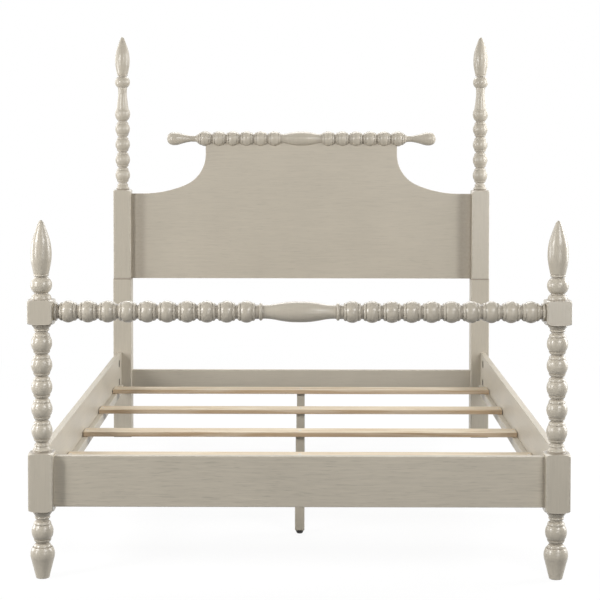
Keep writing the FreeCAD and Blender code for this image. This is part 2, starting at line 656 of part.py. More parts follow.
def glide(y):
    """Tapered levelling glide with a rounded foot, seated round its stud."""
    slope = (GLIDE_TOP_RADIUS - GLIDE_FOOT_RADIUS) / GLIDE_HEIGHT
    foot = GLIDE_FOOT_RADIUS - GLIDE_EASE
    rim = GLIDE_FOOT_RADIUS + slope * GLIDE_EASE
    crown = GLIDE_TOP_RADIUS - GLIDE_EASE
    side_top = GLIDE_HEIGHT - GLIDE_EASE
    body = turned([[(0, 0), (foot, 0)], [(foot, 0), (rim, GLIDE_EASE)], [(rim, GLIDE_EASE),
                   (GLIDE_TOP_RADIUS, side_top)], [(GLIDE_TOP_RADIUS, side_top), (crown, GLIDE_HEIGHT)]])
    body = body.cut(rod(STUD_RADIUS, GLIDE_HEIGHT, V(0, 0, STUD_SEAT), UP))
    body.translate(V(0, y, 0))
    return body


def glide_stud(y):
    stud = rod(STUD_RADIUS, STUD_LENGTH, V(0, y, STUD_SEAT), UP)
    return stud.makeChamfer(STUD_TIP_CHAMFER, ring_edges(stud))


def screw(length, radius, head_radius):
    """Countersunk wood screw, head at zero height, point downwards."""
    shank_end = length - SCREW_TIP_LENGTH
    return turned([[(0, -length), (radius, -shank_end)], [(radius, -shank_end), (radius, -SCREW_HEAD_DEPTH)],
                   [(radius, -SCREW_HEAD_DEPTH), (head_radius, 0)]])


def slat_screws():
    x = RAIL_INNER_X - LEDGER_WIDTH / 2 - SLAT_END_GAP
    return [placed(screw(SLAT_SCREW_LENGTH, SCREW_RADIUS, SCREW_HEAD_RADIUS), V(side * x, y, SLAT_TOP))
            for side in (-1, 1) for y in SLAT_YS]


def leg_screws():
    return [placed(screw(LEG_SCREW_LENGTH, LEG_SCREW_RADIUS, LEG_SCREW_HEAD_RADIUS), V(0, y, SLAT_TOP))
            for y in SLAT_YS]


def ledger_screws():
    first = RAIL_START_Y + LEDGER_SET_BACK + LEDGER_SCREW_MARGIN
    run = RAIL_LENGTH - (LEDGER_SET_BACK + LEDGER_SCREW_MARGIN) * 2
    left = []
    for i in range(LEDGER_SCREWS):
        piece = screw(LEDGER_SCREW_LENGTH, SCREW_RADIUS, SCREW_HEAD_RADIUS)
        piece.rotate(ORIGIN, V(0, 1, 0), QUARTER_TURN)
        y = first + run * i / (LEDGER_SCREWS - 1)
        left.append(placed(piece, V(-RAIL_INNER_X + LEDGER_WIDTH, y, LEDGER_TOP - LEDGER_HEIGHT / 2)))
    return left + [mirrored(piece) for piece in left]


def leg_dowels():
    start = HEAD_LEG_HEIGHT - DOWEL_LENGTH / 2
    left = []
    for side in (-1, 1):
        dowel = rod(DOWEL_RADIUS, DOWEL_LENGTH, V(-POST_X, HEAD_Y + side * DOWEL_SPREAD / 2, start), UP)
        left.append(dowel.makeChamfer(DOWEL_CHAMFER, ring_edges(dowel)))
    return left + [mirrored(dowel) for dowel in left]


def placed(shape, place):
    shape.translate(place)
    return shape


def bored(shape, solids):
    """The shape with room cut for each solid that is seated in it."""
    for solid in solids:
        if shape.BoundBox.intersect(solid.BoundBox):
            shape = shape.cut(solid)
    return shape


def save_pair(name, left):
    save(name + "_left", left)
    save(name + "_right", mirrored(left))


def build_ends(dowels):
    board = foot_board()
    rail = foot_rail()
    panel = headboard_panel()
    stretcher = headboard_stretcher()
    holes = [bolt_hole(*place) for place in bolt_places()]
    save("foot_board", board)
    save("foot_rail", rail)
    save("headboard_panel", panel)
    save("headboard_stretcher", stretcher)
    save("crest_rail", crest_rail().cut(panel))
    save_pair("foot_post", bored(foot_post(), [board, rail] + holes))
    save_pair("headboard_post", bored(headboard_post(), [panel] + dowels))
    save_pair("headboard_leg", bored(headboard_leg(), [stretcher] + holes + dowels))


def build_sides(slat_fixings, ledger_fixings):
    save_pair("side_rail", bored(side_rail(), ledger_fixings))
    save_pair("slat_ledger", bored(slat_ledger(), slat_fixings + ledger_fixings))


def build_slats(slat_fixings, leg_fixings):
    inserts = [leg_insert(y) for y in SLAT_YS]
    for i, y in enumerate(SLAT_YS):
        number = str(i + 1)
        save("slat_" + number, bored(slat(y), slat_fixings + leg_fixings))
        save("support_leg_" + number, bored(support_leg(y), leg_fixings + [inserts[i]]))
        save("glide_" + number, glide(y))
        save("glide_stud_" + number, glide_stud(y))
    save("leg_inserts", group(inserts))


def build():
    os.makedirs("parts", exist_ok=True)
    dowels = leg_dowels()
    slat_fixings = slat_screws()
    ledger_fixings = ledger_screws()
    leg_fixings = leg_screws()
    build_ends(dowels)
    build_sides(slat_fixings, ledger_fixings)
    build_slats(slat_fixings, leg_fixings)
    save("leg_dowels", group(dowels))
    save("slat_screws", group(slat_fixings))
    save("ledger_screws", group(ledger_fixings))
    save("leg_screws", group(leg_fixings))
    save("rail_bolts", both_sides(rail_bolt))
    save("rail_washers", both_sides(rail_washer))
    save("rail_nuts", both_sides(rail_nut))


build()
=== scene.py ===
"""Looks, light and camera of a bobbin-turned low-post bed frame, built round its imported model.

The turned posts and rails are lathe surfaces worked out with numpy; boards, slats and small fittings keep
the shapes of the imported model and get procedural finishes. Lengths are in metres, +Z is up, the foot of
the bed is at -Y and its left side at -X.
"""
import json
import logging
import math
from dataclasses import dataclass, field
from enum import Enum
from functools import partialmethod
from typing import Any, Sequence

import bpy
import numpy as np
from bpy.types import Material, Node, NodeSocket, NodeTree, Object
from mathutils import Matrix, Vector

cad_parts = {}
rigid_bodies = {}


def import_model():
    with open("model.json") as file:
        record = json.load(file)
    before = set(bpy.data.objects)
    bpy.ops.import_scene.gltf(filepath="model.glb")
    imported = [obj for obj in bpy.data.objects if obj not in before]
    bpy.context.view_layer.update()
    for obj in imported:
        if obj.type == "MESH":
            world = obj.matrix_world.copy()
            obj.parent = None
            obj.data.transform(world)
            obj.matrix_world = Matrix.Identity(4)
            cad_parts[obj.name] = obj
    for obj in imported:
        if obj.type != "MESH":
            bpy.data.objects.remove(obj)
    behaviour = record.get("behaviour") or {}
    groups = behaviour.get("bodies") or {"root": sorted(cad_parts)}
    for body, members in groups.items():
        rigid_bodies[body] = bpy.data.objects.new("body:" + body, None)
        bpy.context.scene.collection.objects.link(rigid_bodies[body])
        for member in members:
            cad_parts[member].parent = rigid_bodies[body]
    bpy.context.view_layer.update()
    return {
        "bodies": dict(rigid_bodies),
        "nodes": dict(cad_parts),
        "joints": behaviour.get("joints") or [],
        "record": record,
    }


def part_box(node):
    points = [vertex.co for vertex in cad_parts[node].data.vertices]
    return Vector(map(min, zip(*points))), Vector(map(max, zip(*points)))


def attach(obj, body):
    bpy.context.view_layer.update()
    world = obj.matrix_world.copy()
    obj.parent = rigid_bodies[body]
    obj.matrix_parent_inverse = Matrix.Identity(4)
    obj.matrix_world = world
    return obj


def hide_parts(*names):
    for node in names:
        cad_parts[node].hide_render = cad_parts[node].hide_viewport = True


LOG = logging.getLogger("bed")

Rgb = tuple[float, float, float]
Point = tuple[float, float]
Place = tuple[float, float, float]
Inputs = dict[str | int, Any]

BODY = "frame"
POST_X = 0.7755
POST_INNER_X = 0.738
FOOT_Y = -1.06475
HEAD_Y = 1.06325
RAIL_START_Y = -1.02725
RAIL_LENGTH = 2.0515
SLAT_YS = tuple(RAIL_START_Y + RAIL_LENGTH * share for share in (0.233, 0.429, 0.641, 0.855))
SLAT_TOP = 0.266

WHITE = (1.0, 1.0, 1.0)
ORIGIN = (0.0, 0.0, 0.0)
# An edge sharper than this shows as a crease, and points nearer than this are one.
CREASE = math.radians(32.0)
SAME = 1e-6


class Grain(Enum):
    """Direction of a piece's fibres, as the order in which its axes are read: along, across, across."""

    ALONG_X = (0, 1, 2)
    ALONG_Y = (1, 0, 2)
    ALONG_Z = (2, 0, 1)


class Side(Enum):
    """Left or right of the bed, as the sign of X."""

    LEFT = -1
    RIGHT = 1

    def of(self, piece: str) -> str:
        """Name of the piece on this side."""
        return piece + "_" + self.name.lower()


# Node trees


class Signal:
    """One output of a node, from which further nodes are written as sums.

    The signs + - * / with a number, a vector or another signal each add a maths node.
    """

    def __init__(self, net: "Wiring", socket: NodeSocket) -> None:
        """Keeps the output and the net that it is in."""
        self.net, self.socket = net, socket

    def maths(self, operation: str, other: Any = 0.0, clamp: bool = False) -> "Signal":
        """Adds one maths node, for vectors where this signal is one.

        Args:
            operation: the node's operation.
            other: what goes into its second input.
            clamp: whether a number is kept between nought and one.

        Returns:
            The result.
        """
        inputs = {0: self, 1: other}
        if self.socket.type == "VECTOR":
            return self.net.take("VectorMath", "Vector", inputs, operation=operation)
        return self.net.take("Math", 0, inputs, operation=operation, use_clamp=clamp)

    __add__ = partialmethod(maths, "ADD")
    __sub__ = partialmethod(maths, "SUBTRACT")
    __mul__ = partialmethod(maths, "MULTIPLY")
    __truediv__ = partialmethod(maths, "DIVIDE")

    def noise(self, scale: float, detail: float = 2.0, roughness: float = 0.5) -> "Signal":
        """Noise from nought to one at this point."""
        inputs = {"Vector": self, "Scale": scale, "Detail": detail, "Roughness": roughness}
        return self.net.take("TexNoise", 0, inputs)

    def step(self, low: Any, high: Any, start: Any = 0.0, end: Any = 1.0) -> "Signal":
        """Smooth step from start to end while this goes from low to high."""
        inputs = {"Value": self, "From Min": low, "From Max": high, "To Min": start, "To Max": end}
        return self.net.take("MapRange", "Result", inputs, interpolation_type="SMOOTHSTEP")

    def spread(self, start: float, end: float) -> "Signal":
        """This value between nought and one, spread evenly from start to end."""
        return self.net.take("MapRange", "Result", {"Value": self, "To Min": start, "To Max": end})

    def parts(self) -> list["Signal"]:
        """The three parts of this vector."""
        return [Signal(self.net, part) for part in self.net.add("SeparateXYZ", {0: self}).outputs]

    def along(self, grain: Grain) -> "Signal":
        """This vector turned so that its first part runs along the fibres."""
        parts = self.parts()
        return self.net.join(*(parts[axis] for axis in grain.value))


class Wiring:
    """Adds nodes to a node tree and joins their sockets."""

    def __init__(self, tree: NodeTree) -> None:
        """Keeps the tree that the nodes go into."""
        self.tree = tree

    def feed(self, socket: NodeSocket, value: Any) -> None:
        """Links an input to a signal, or sets the input's own value.

        Args:
            socket: the input to fill.
            value: a signal, or a number, vector or colour.
        """
        if isinstance(value, Signal):
            self.tree.links.new(value.socket, socket)
        elif socket.type == "RGBA" and len(value) == 3:
            socket.default_value = (*value, 1.0)
        else:
            socket.default_value = value

    def add(self, kind: str, inputs: Inputs | None = None, **settings: Any) -> Node:
        """Adds one shader node.

        Args:
            kind: the node's type without its first words.
            inputs: what goes into its inputs, by name or number.
            settings: the node's own options.

        Returns:
            The new node.
        """
        node = self.tree.nodes.new("ShaderNode" + kind)
        for key, value in settings.items():
            setattr(node, key, value)
        for key, value in (inputs or {}).items():
            self.feed(node.inputs[key], value)
        return node

    def take(self, kind: str, output: str | int, inputs: Inputs | None = None, **settings: Any) -> Signal:
        """Adds one shader node and gives one of its outputs."""
        return Signal(self, self.add(kind, inputs, **settings).outputs[output])

    def named(self, node: Node) -> dict[str, Signal]:
        """All outputs of a node by name."""
        return {output.name: Signal(self, output) for output in node.outputs}

    def join(self, x: Any, y: Any, z: Any) -> Signal:
        """Vector of three numbers."""
        return self.take("CombineXYZ", 0, {0: x, 1: y, 2: z})

    def blend(self, share: Any, a: Any, b: Any, mode: str = "MIX") -> Signal:
        """Two colours mixed by a share of the second."""
        return self.take("Mix", 2, {0: share, 6: a, 7: b}, data_type="RGBA", blend_type=mode)

    def attribute(self, name: str) -> Signal:
        """Value of one of the mesh's own attributes."""
        return self.take("Attribute", "Fac", attribute_name=name)


class GroupWiring(Wiring):
    """A shader node group with named inputs and outputs."""

    KINDS = {1: "NodeSocketFloat", 3: "NodeSocketVector", 4: "NodeSocketColor"}

    def __init__(self, name: str, inputs: dict[str, Any], outputs: Sequence[str]) -> None:
        """Makes the group and its sockets.

        Args:
            name: the group's name.
            inputs: each input's default: one number, three for a vector, four for a colour.
            outputs: the outputs' names; Color is a colour and the others are numbers.
        """
        super().__init__(bpy.data.node_groups.new(name, "ShaderNodeTree"))
        new_socket = self.tree.interface.new_socket
        for label, value in inputs.items():
            new_socket(label, in_out="INPUT", socket_type=self.KINDS[np.size(value)]).default_value = value
        for label in outputs:
            new_socket(label, in_out="OUTPUT", socket_type=self.KINDS[4 if label == "Color" else 1])
        entry = self.named(self.tree.nodes.new("NodeGroupInput"))
        self.given = [entry[label] for label in inputs]
        self.result = self.tree.nodes.new("NodeGroupOutput").inputs

    def put_out(self, **values: Signal) -> NodeTree:
        """Joins the outputs and gives the finished group."""
        for label, value in values.items():
            self.feed(self.result[label], value)
        return self.tree


class Effects:
    """The shader groups that the finishes share, each built once."""

    DRIFT_SCALE = 1.7
    FLECK_STRETCH = (2.2, 2.6, 2.6)
    FLECK_RANGE = (0.57, 0.72)
    RING_STRETCH = (0.12, 0.07, 0.07)
    SKIN_DEPTH = (0.0007, 0.0013)
    CLOUD_SCALE = 5.0
    CLOUD_TONE = 0.14
    CLOUD_SHEEN = 0.12
    MARK_TONE = 0.16
    SPECK_SCALE = 90.0
    SPECK_GLAZE_AND_SHADE = (0.55, 1.0)
    SPECK_WEAR = (0.38, 0.62)
    GLAZE_AND_SHADE_SHEEN = 0.18
    STREAK_HEIGHT = 0.6
    SPECK_HEIGHT = 0.25
    FLECK_HEIGHT = 0.35

    def __init__(self) -> None:
        """Builds the groups."""
        self.grain = self.wood_grain()
        self.edges = self.board_edges()
        self.patina = self.paint_patina()
        self.marks = self.tool_marks()

    def wood_grain(self) -> NodeTree:
        """Fibres along X.

        The point is divided by the streaks' length and width after a slow noise has shifted it across the
        fibres. Streak is noise there, Fleck is finer noise above a threshold, and Ring is the sine of a
        wide, drawn-out noise, which gives the arches of growth rings.

        Returns:
            The group, with Streak, Fleck, Ring and Height.
        """
        net = GroupWiring("wood grain", {"Vector": ORIGIN, "Length": 0.09, "Width": 0.0045, "Drift": 0.02,
                                         "Rings": 40.0}, ("Streak", "Fleck", "Ring", "Height"))
        point, length, width, drift, rings = net.given
        shift = (point.noise(self.DRIFT_SCALE) - 0.5) * drift
        fibre = (point + net.join(0.0, shift, shift)) / net.join(length, width, width)
        streak = fibre.noise(1.0, 3.0, 0.55)
        fleck = (fibre * self.FLECK_STRETCH).noise(1.0, 1.0).step(*self.FLECK_RANGE)
        wide = (fibre * self.RING_STRETCH).noise(1.0, 1.0)
        ring = (wide * rings).maths("SINE") * 0.5 + 0.5
        return net.put_out(Streak=streak, Fleck=fleck, Ring=ring, Height=streak * 0.5 - fleck * 0.5)

    def board_edges(self) -> NodeTree:
        """How near a point of a board is to the board's edges, and whether it lies inside the board.

        For each axis the distance to the nearer end is taken. The middle one of the three is the way to the
        nearest edge, and the least one is how far the point lies under the surface.

        Returns:
            The group, with Edge and Inside, each from nought to one.
        """
        net = GroupWiring("board edges", {"Vector": ORIGIN, "Low": ORIGIN, "High": ORIGIN, "Width": 0.004},
                          ("Edge", "Inside"))
        point, low, high, width = net.given
        x, y, z = (point - low).maths("MINIMUM", high - point).parts()
        least = x.maths("MINIMUM", y).maths("MINIMUM", z)
        most = x.maths("MAXIMUM", y).maths("MAXIMUM", z)
        middle = x + y + z - least - most
        return net.put_out(Edge=middle.step(0.0, width, 1.0, 0.0), Inside=least.step(*self.SKIN_DEPTH))

    def tool_marks(self) -> NodeTree:
        """Fine rings that a turning tool leaves round X.

        The point is divided by the rings' width along X and by a long run across it, so that noise there
        changes fast along the axis and slowly round it.

        Returns:
            The group, with Mark, from minus a half to a half.
        """
        net = GroupWiring("tool marks", {"Vector": ORIGIN, "Width": 0.0022, "Run": 0.06}, ("Mark",))
        point, width, run = net.given
        return net.put_out(Mark=(point / net.join(width, run, run)).noise(1.0, 2.0, 0.6) - 0.5)

    def paint_patina(self) -> NodeTree:
        """Colour of brushed paint over wood.

        The coat is made a little lighter and darker by the fibres, by slow mottling and by tool marks,
        darkened to the glaze colour in grooves and wherever a board lays painted shade, and lightened on
        edges, where a noise breaks the wear up.

        Returns:
            The group, with Color, Roughness and Height.
        """
        grey = (0.5, 0.5, 0.5, 1.0)
        net = GroupWiring("paint patina", {"Vector": ORIGIN, "Coat": grey, "Glaze": grey, "Worn": grey,
                                           "Streak": 0.5, "Fleck": 0.0, "Groove": 0.0, "Wear": 0.0,
                                           "Depth": 0.05, "Sheen": 0.4, "Mark": 0.0},
                          ("Color", "Roughness", "Height"))
        point, coat, glaze, worn, streak, fleck, groove, wear, depth, sheen, mark = net.given
        cloud = point.noise(self.CLOUD_SCALE, 3.0) - 0.5
        speck = point.noise(self.SPECK_SCALE)
        tone = ((streak - 0.5) * (depth * 2.0) - fleck * depth + cloud * self.CLOUD_TONE + 1.0
                + mark * self.MARK_TONE)
        brushed = net.blend(1.0, coat, net.join(tone, tone, tone), "MULTIPLY")
        # Darkening toward the glaze colour: glaze in the turnings' grooves, a dark line at seams, and painted
        # shadow of the posts on the headboard panel.
        glazed_and_shaded = groove.maths("MULTIPLY", speck.spread(*self.SPECK_GLAZE_AND_SHADE), True)
        rubbed = wear.maths("MULTIPLY", speck.step(*self.SPECK_WEAR), True)
        return net.put_out(Color=net.blend(rubbed, net.blend(glazed_and_shaded, brushed, glaze), worn),
                           Roughness=sheen + cloud * self.CLOUD_SHEEN + glazed_and_shaded * self.GLAZE_AND_SHADE_SHEEN,
                           Height=streak * self.STREAK_HEIGHT + speck * self.SPECK_HEIGHT
                           - fleck * self.FLECK_HEIGHT + mark)


# Finishes


class Finish:
    """A material in the making: its net, its shader, its object coordinates and the shared groups."""

    def __init__(self, name: str, effects: Effects | None = None) -> None:
        """Makes an empty material with one shader.

        Args:
            name: the material's name.
            effects: the shared shader groups, where it places any.
        """
        self.material = bpy.data.materials.new(name)
        self.material.use_nodes = True
        self.effects = effects
        self.net = Wiring(self.material.node_tree)
        self.point = self.net.take("TexCoord", "Object")
        self.shader = self.material.node_tree.nodes["Principled BSDF"]

    def group(self, tree: NodeTree, **inputs: Any) -> dict[str, Signal]:
        """Places a shared group and gives its outputs by name."""
        return self.net.named(self.net.add("Group", inputs, node_tree=tree))

    def set(self, **values: Any) -> None:
        """Fills the shader's own inputs, named with _ for a space."""
        for key, value in values.items():
            self.net.feed(self.shader.inputs[key.replace("_", " ")], value)

    def bump(self, height: Signal, distance: float, strength: float = 1.0) -> Material:
        """Raises the surface, which finishes the material.

        Args:
            height: the relief, from nought to one.
            distance: what one is in metres.
            strength: share of the relief that shows.

        Returns:
            The material.
        """
        inputs = {"Height": height, "Distance": distance, "Strength": strength}
        self.set(Normal=self.net.take("Bump", "Normal", inputs))
        return self.material


@dataclass(frozen=True)
class BoardLook:
    """How paint lies on a board.

    The fibres show to a depth, the walls inside a holed board's pockets are painted near-black as painted
    shade, and by the board's ends a share of the glaze colour is laid, full up to one distance from the end
    and gone at
    another: painted shadow of the posts on the headboard panel, a dark line at the seam and at the floor on
    the legs.
    """

    depth: float = 0.07
    holed: bool = False
    glaze: float = 0.0
    glaze_and_shade_full: float = 0.0
    glaze_and_shade_gone: float = 0.001


@dataclass(frozen=True)
class Paint:
    """Satin grey-beige paint, brushed on wood so that the fibres still show."""

    coat: Rgb = (0.500, 0.452, 0.370)
    glaze: Rgb = (0.215, 0.175, 0.135)
    worn: Rgb = (0.600, 0.556, 0.475)
    # Near-black for the walls of the bolt pockets: painted shade.
    pocket_shade: Rgb = (0.012, 0.009, 0.007)
    turned_depth: float = 0.06
    turned_roughness: float = 0.26
    turned_relief: float = 0.00003
    groove_glaze: float = 0.75
    crown_wear: float = 0.35
    board_roughness: float = 0.46
    board_relief: float = 0.00010
    edge_width: float = 0.0045
    edge_wear: float = 0.45
    streak_length: float = 0.11
    streak_width: float = 0.006
    streak_drift: float = 0.03

    def on_turning(self, made: Finish, grain: Grain) -> Material:
        """The paint on a turned piece, with glaze left in its grooves, rubbed crowns and fine tool marks.

        Args:
            made: the material in the making.
            grain: direction of the fibres.

        Returns:
            The material; it reads the mesh's groove, wear and circle attributes.
        """
        groove, wear, circle = (made.net.attribute(label) for label in ("groove", "wear", "circle"))
        mark = made.group(made.effects.marks, Vector=made.point.along(grain))["Mark"] * circle
        coat = self.lay(made, grain, Groove=groove.maths("MULTIPLY", self.groove_glaze, True),
                        Wear=wear.maths("MULTIPLY", self.crown_wear, True), Depth=self.turned_depth,
                        Sheen=self.turned_roughness, Mark=mark)
        return made.bump(coat["Height"], self.turned_relief)

    def on_board(self, made: Finish, node: str, grain: Grain, look: BoardLook) -> Material:
        """The paint on a square-edged imported board, rubbed along its edges.

        Args:
            made: the material in the making.
            node: the board's node.
            grain: direction of the fibres.
            look: how the paint lies.

        Returns:
            The material.
        """
        low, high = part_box(node)
        edge = made.group(made.effects.edges, Vector=made.point, Low=low, High=high, Width=self.edge_width)
        wear = edge["Edge"].maths("MULTIPLY", self.edge_wear, True)
        groove = 0.0
        # Darker toward the board's ends along its fibres: painted shadow of the posts on the headboard panel,
        # a dark line at the seams on the headboard legs.
        if look.glaze:
            inward = (made.point - low).maths("MINIMUM", (made.point - high) * (-1.0, -1.0, -1.0))
            away = inward.parts()[grain.value[0]]
            groove = away.step(look.glaze_and_shade_full, look.glaze_and_shade_gone, look.glaze, 0.0)
            wear = wear.maths("SUBTRACT", groove, True)
        coat = self.lay(made, grain, Groove=groove, Wear=wear, Depth=look.depth, Sheen=self.board_roughness)
        # Walls more than a skin deep inside a holed board, its bolt pockets, are painted near-black: painted
        # shade in the pockets.
        if look.holed:
            made.set(Base_Color=made.net.blend(edge["Inside"], coat["Color"], self.pocket_shade))
        return made.bump(coat["Height"], self.board_relief)

    def lay(self, made: Finish, grain: Grain, **patina: Any) -> dict[str, Signal]:
        """Joins grain and patina to the shader.

        Args:
            made: the material in the making.
            grain: direction of the fibres.
            patina: the patina's inputs that differ from piece to piece.

        Returns:
            The patina's outputs.
        """
        wood = made.group(made.effects.grain, Vector=made.point.along(grain), Length=self.streak_length,
                          Width=self.streak_width, Drift=self.streak_drift)
        coat = made.group(made.effects.patina, Vector=made.point, Coat=self.coat, Glaze=self.glaze,
                          Worn=self.worn, Streak=wood["Streak"], Fleck=wood["Fleck"], **patina)
        made.set(Base_Color=coat["Color"], Roughness=coat["Roughness"])
        return coat


@dataclass(frozen=True)
class Pine:
    """Plain pine with growth rings and a few small knots, its sides darker and browner than its top."""

    pale: Rgb = (0.704, 0.617, 0.474)
    dark: Rgb = (0.563, 0.438, 0.287)
    side_tint: Rgb = (0.920, 0.835, 0.780)
    knot: Rgb = (0.300, 0.160, 0.080)
    roughness: Point = (0.49, 0.65)
    relief: float = 0.0003
    streak_length: float = 0.16
    streak_width: float = 0.0032
    streak_drift: float = 0.05
    rings: float = 55.0
    ring_tone: float = 0.55
    streak_tone: float = 0.55
    tone_range: Point = (0.15, 0.95)
    fleck_share: float = 0.22
    edge_width: float = 0.003
    edge_share: float = 0.25
    knots_per_metre: Place = (2.4, 7.0, 7.0)
    knot_range: Point = (0.02, 0.075)
    knot_share: float = 0.7
    side_depth: Point = (0.0014, 0.0006)

    def on_slat(self, made: Finish, node: str) -> Material:
        """The pine of one slat.

        Args:
            made: the material in the making.
            node: the slat's node.

        Returns:
            The material, fibres along X.
        """
        net, point, effects = made.net, made.point, made.effects
        low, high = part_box(node)
        wood = made.group(effects.grain, Vector=point, Length=self.streak_length, Width=self.streak_width,
                          Drift=self.streak_drift, Rings=self.rings)
        edge = made.group(effects.edges, Vector=point, Low=low, High=high, Width=self.edge_width)["Edge"]
        tone = (wood["Ring"] * self.ring_tone + wood["Streak"] * self.streak_tone).step(*self.tone_range)
        board = net.blend(tone, self.pale, self.dark)
        board = net.blend(wood["Fleck"] * self.fleck_share, board, self.dark)
        away = net.take("TexVoronoi", "Distance", {"Vector": point * self.knots_per_metre, "Scale": 1.0})
        board = net.blend(away.step(*self.knot_range, 1.0, 0.0) * self.knot_share, board, self.knot)
        # Every face below the top is multiplied by a darker, browner tint.
        side = point.parts()[2].step(*(high.z - depth for depth in self.side_depth), 1.0, 0.0)
        board = net.blend(side, board, net.blend(1.0, board, self.side_tint, "MULTIPLY"))
        made.set(Base_Color=net.blend(edge * self.edge_share, board, self.pale),
                 Roughness=wood["Streak"].spread(*self.roughness))
        return made.bump(wood["Height"], self.relief)


@dataclass(frozen=True)
class Plastic:
    """Dark moulded plastic with a fine matt grain and scuffs."""

    base: Rgb = (0.030, 0.029, 0.028)
    scuff: Rgb = (0.110, 0.105, 0.100)
    roughness: Point = (0.42, 0.62)
    grain_scale: float = 900.0
    scratch_scales: Place = (300.0, 300.0, 1500.0)
    scratch_range: Point = (0.56, 0.72)
    scuff_share: float = 0.6
    relief: float = 0.0002
    relief_share: float = 0.6

    def on(self, made: Finish) -> Material:
        """Fine noise with flat scratches.

        Args:
            made: the material in the making.

        Returns:
            The material.
        """
        grain = made.point.noise(self.grain_scale, 3.0)
        scratch = (made.point * self.scratch_scales).noise(1.0).step(*self.scratch_range)
        made.set(Base_Color=made.net.blend(scratch * self.scuff_share, self.base, self.scuff),
                 Roughness=grain.spread(*self.roughness))
        return made.bump(grain, self.relief, self.relief_share)


class Plating(Enum):
    """Colour of a zinc plating where it shines and where it is dulled."""

    BRIGHT = ((0.620, 0.625, 0.630), (0.420, 0.425, 0.430))
    # Near-black plating for the bolts, nuts and washers inside the rails' pockets: painted shade of the
    # pockets.
    BLACK = ((0.050, 0.046, 0.044), (0.030, 0.028, 0.026))


@dataclass(frozen=True)
class ZincSteel:
    """Zinc-plated steel, faintly spangled and dulled in patches."""

    plating: Plating = Plating.BRIGHT
    roughness: Point = (0.24, 0.46)
    cloud_scale: float = 260.0
    dull_range: Point = (0.35, 0.7)
    spangle_scale: float = 2200.0
    relief: float = 0.00006
    relief_share: float = 0.5

    def on(self, made: Finish) -> Material:
        """Cloudy patches with a fine spangle.

        Args:
            made: the material in the making.

        Returns:
            The material.
        """
        cloud = made.point.noise(self.cloud_scale, 4.0, 0.6)
        made.set(Base_Color=made.net.blend(cloud.step(*self.dull_range), *self.plating.value), Metallic=1.0,
                 Roughness=cloud.spread(*self.roughness))
        return made.bump(made.point.noise(self.spangle_scale), self.relief, self.relief_share)


@dataclass(frozen=True)
class Beech:
    """Bare beech of the hidden dowels, with short pores along Z."""

    pale: Rgb = (0.610, 0.410, 0.250)
    dark: Rgb = (0.430, 0.260, 0.140)
    roughness: Point = (0.5, 0.65)
    fibre_length: float = 0.03
    fibre_width: float = 0.0012
    fibre_drift: float = 0.004
    fleck_tone: float = 0.5
    streak_tone: float = 0.5
    relief: float = 0.0002

    def on(self, made: Finish) -> Material:
        """Short fibres.

        Args:
            made: the material in the making.

        Returns:
            The material.
        """
        wood = made.group(made.effects.grain, Vector=made.point.along(Grain.ALONG_Z),
                          Length=self.fibre_length, Width=self.fibre_width, Drift=self.fibre_drift)
        tone = wood["Fleck"] * self.fleck_tone + wood["Streak"] * self.streak_tone
        made.set(Base_Color=made.net.blend(tone, self.pale, self.dark),
                 Roughness=wood["Streak"].spread(*self.roughness))
        return made.bump(wood["Height"], self.relief)


# Profiles


def line(*points: Point) -> np.ndarray:
    """Straight run through (radius, height) points."""
    return np.array(points, float)


def arc(start: Point, middle: Point, end: Point, count: int) -> np.ndarray:
    """Run on the circle through three points.

    The centre solves the two equations that set its distances to the three points equal; the angle then
    goes evenly from the first point to the last through the middle one.

    Args:
        start: first point.
        middle: a point between.
        end: last point.
        count: how many points the run has.

    Returns:
        Points as (count, 2).
    """
    a, b, c = np.array((start, middle, end), float)
    rows = 2.0 * np.array((b - a, c - a))
    centre = np.linalg.solve(rows, np.array((b @ b - a @ a, c @ c - a @ a)))
    turns = np.unwrap([math.atan2(*(p - centre)[::-1]) for p in (a, b, c)])
    turn = np.linspace(turns[0], turns[2], count)[:, None]
    return centre + np.linalg.norm(a - centre) * np.hstack((np.cos(turn), np.sin(turn)))


def curve(points: Sequence[Point], per_span: int = 6) -> np.ndarray:
    """Smooth run through all the points: a natural cubic spline over the chord length.

    Its second derivatives m solve the usual three-term equations with m = 0 at both ends, and each span is
    the cubic that has the span's end values and second derivatives.

    Args:
        points: points to go through.
        per_span: points of the run in each span.

    Returns:
        Points as (n, 2).
    """
    p = np.array(points, float)
    count = len(p)
    h = np.linalg.norm(np.diff(p, axis=0), axis=1)
    knots = np.concatenate(((0.0,), np.cumsum(h)))
    system = np.eye(count)
    inner = np.arange(1, count - 1)
    system[inner, inner - 1] = h[:-1]
    system[inner, inner] = 2.0 * (h[:-1] + h[1:])
    system[inner, inner + 1] = h[1:]
    right = np.zeros_like(p)
    right[1:-1] = 6.0 * np.diff(np.diff(p, axis=0) / h[:, None], axis=0)
    m = np.linalg.solve(system, right)
    at = np.unique(np.concatenate([np.linspace(a, b, per_span + 1) for a, b in zip(knots[:-1], knots[1:])]))
    span = np.clip(np.searchsorted(knots, at, side="right") - 1, 0, count - 2)
    left = (knots[span + 1] - at)[:, None]
    gone = (at - knots[span])[:, None]
    size = h[span][:, None]
    return ((m[span] * left ** 3 + m[span + 1] * gone ** 3) / (6.0 * size)
            + (p[span] / size - m[span] * size / 6.0) * left
            + (p[span + 1] / size - m[span + 1] * size / 6.0) * gone)


def scaled(shares: Sequence[Point], radius: float, height: float) -> list[Point]:
    """Profile points from shares of a radius and a height."""
    return [(across * radius, up * height) for across, up in shares]


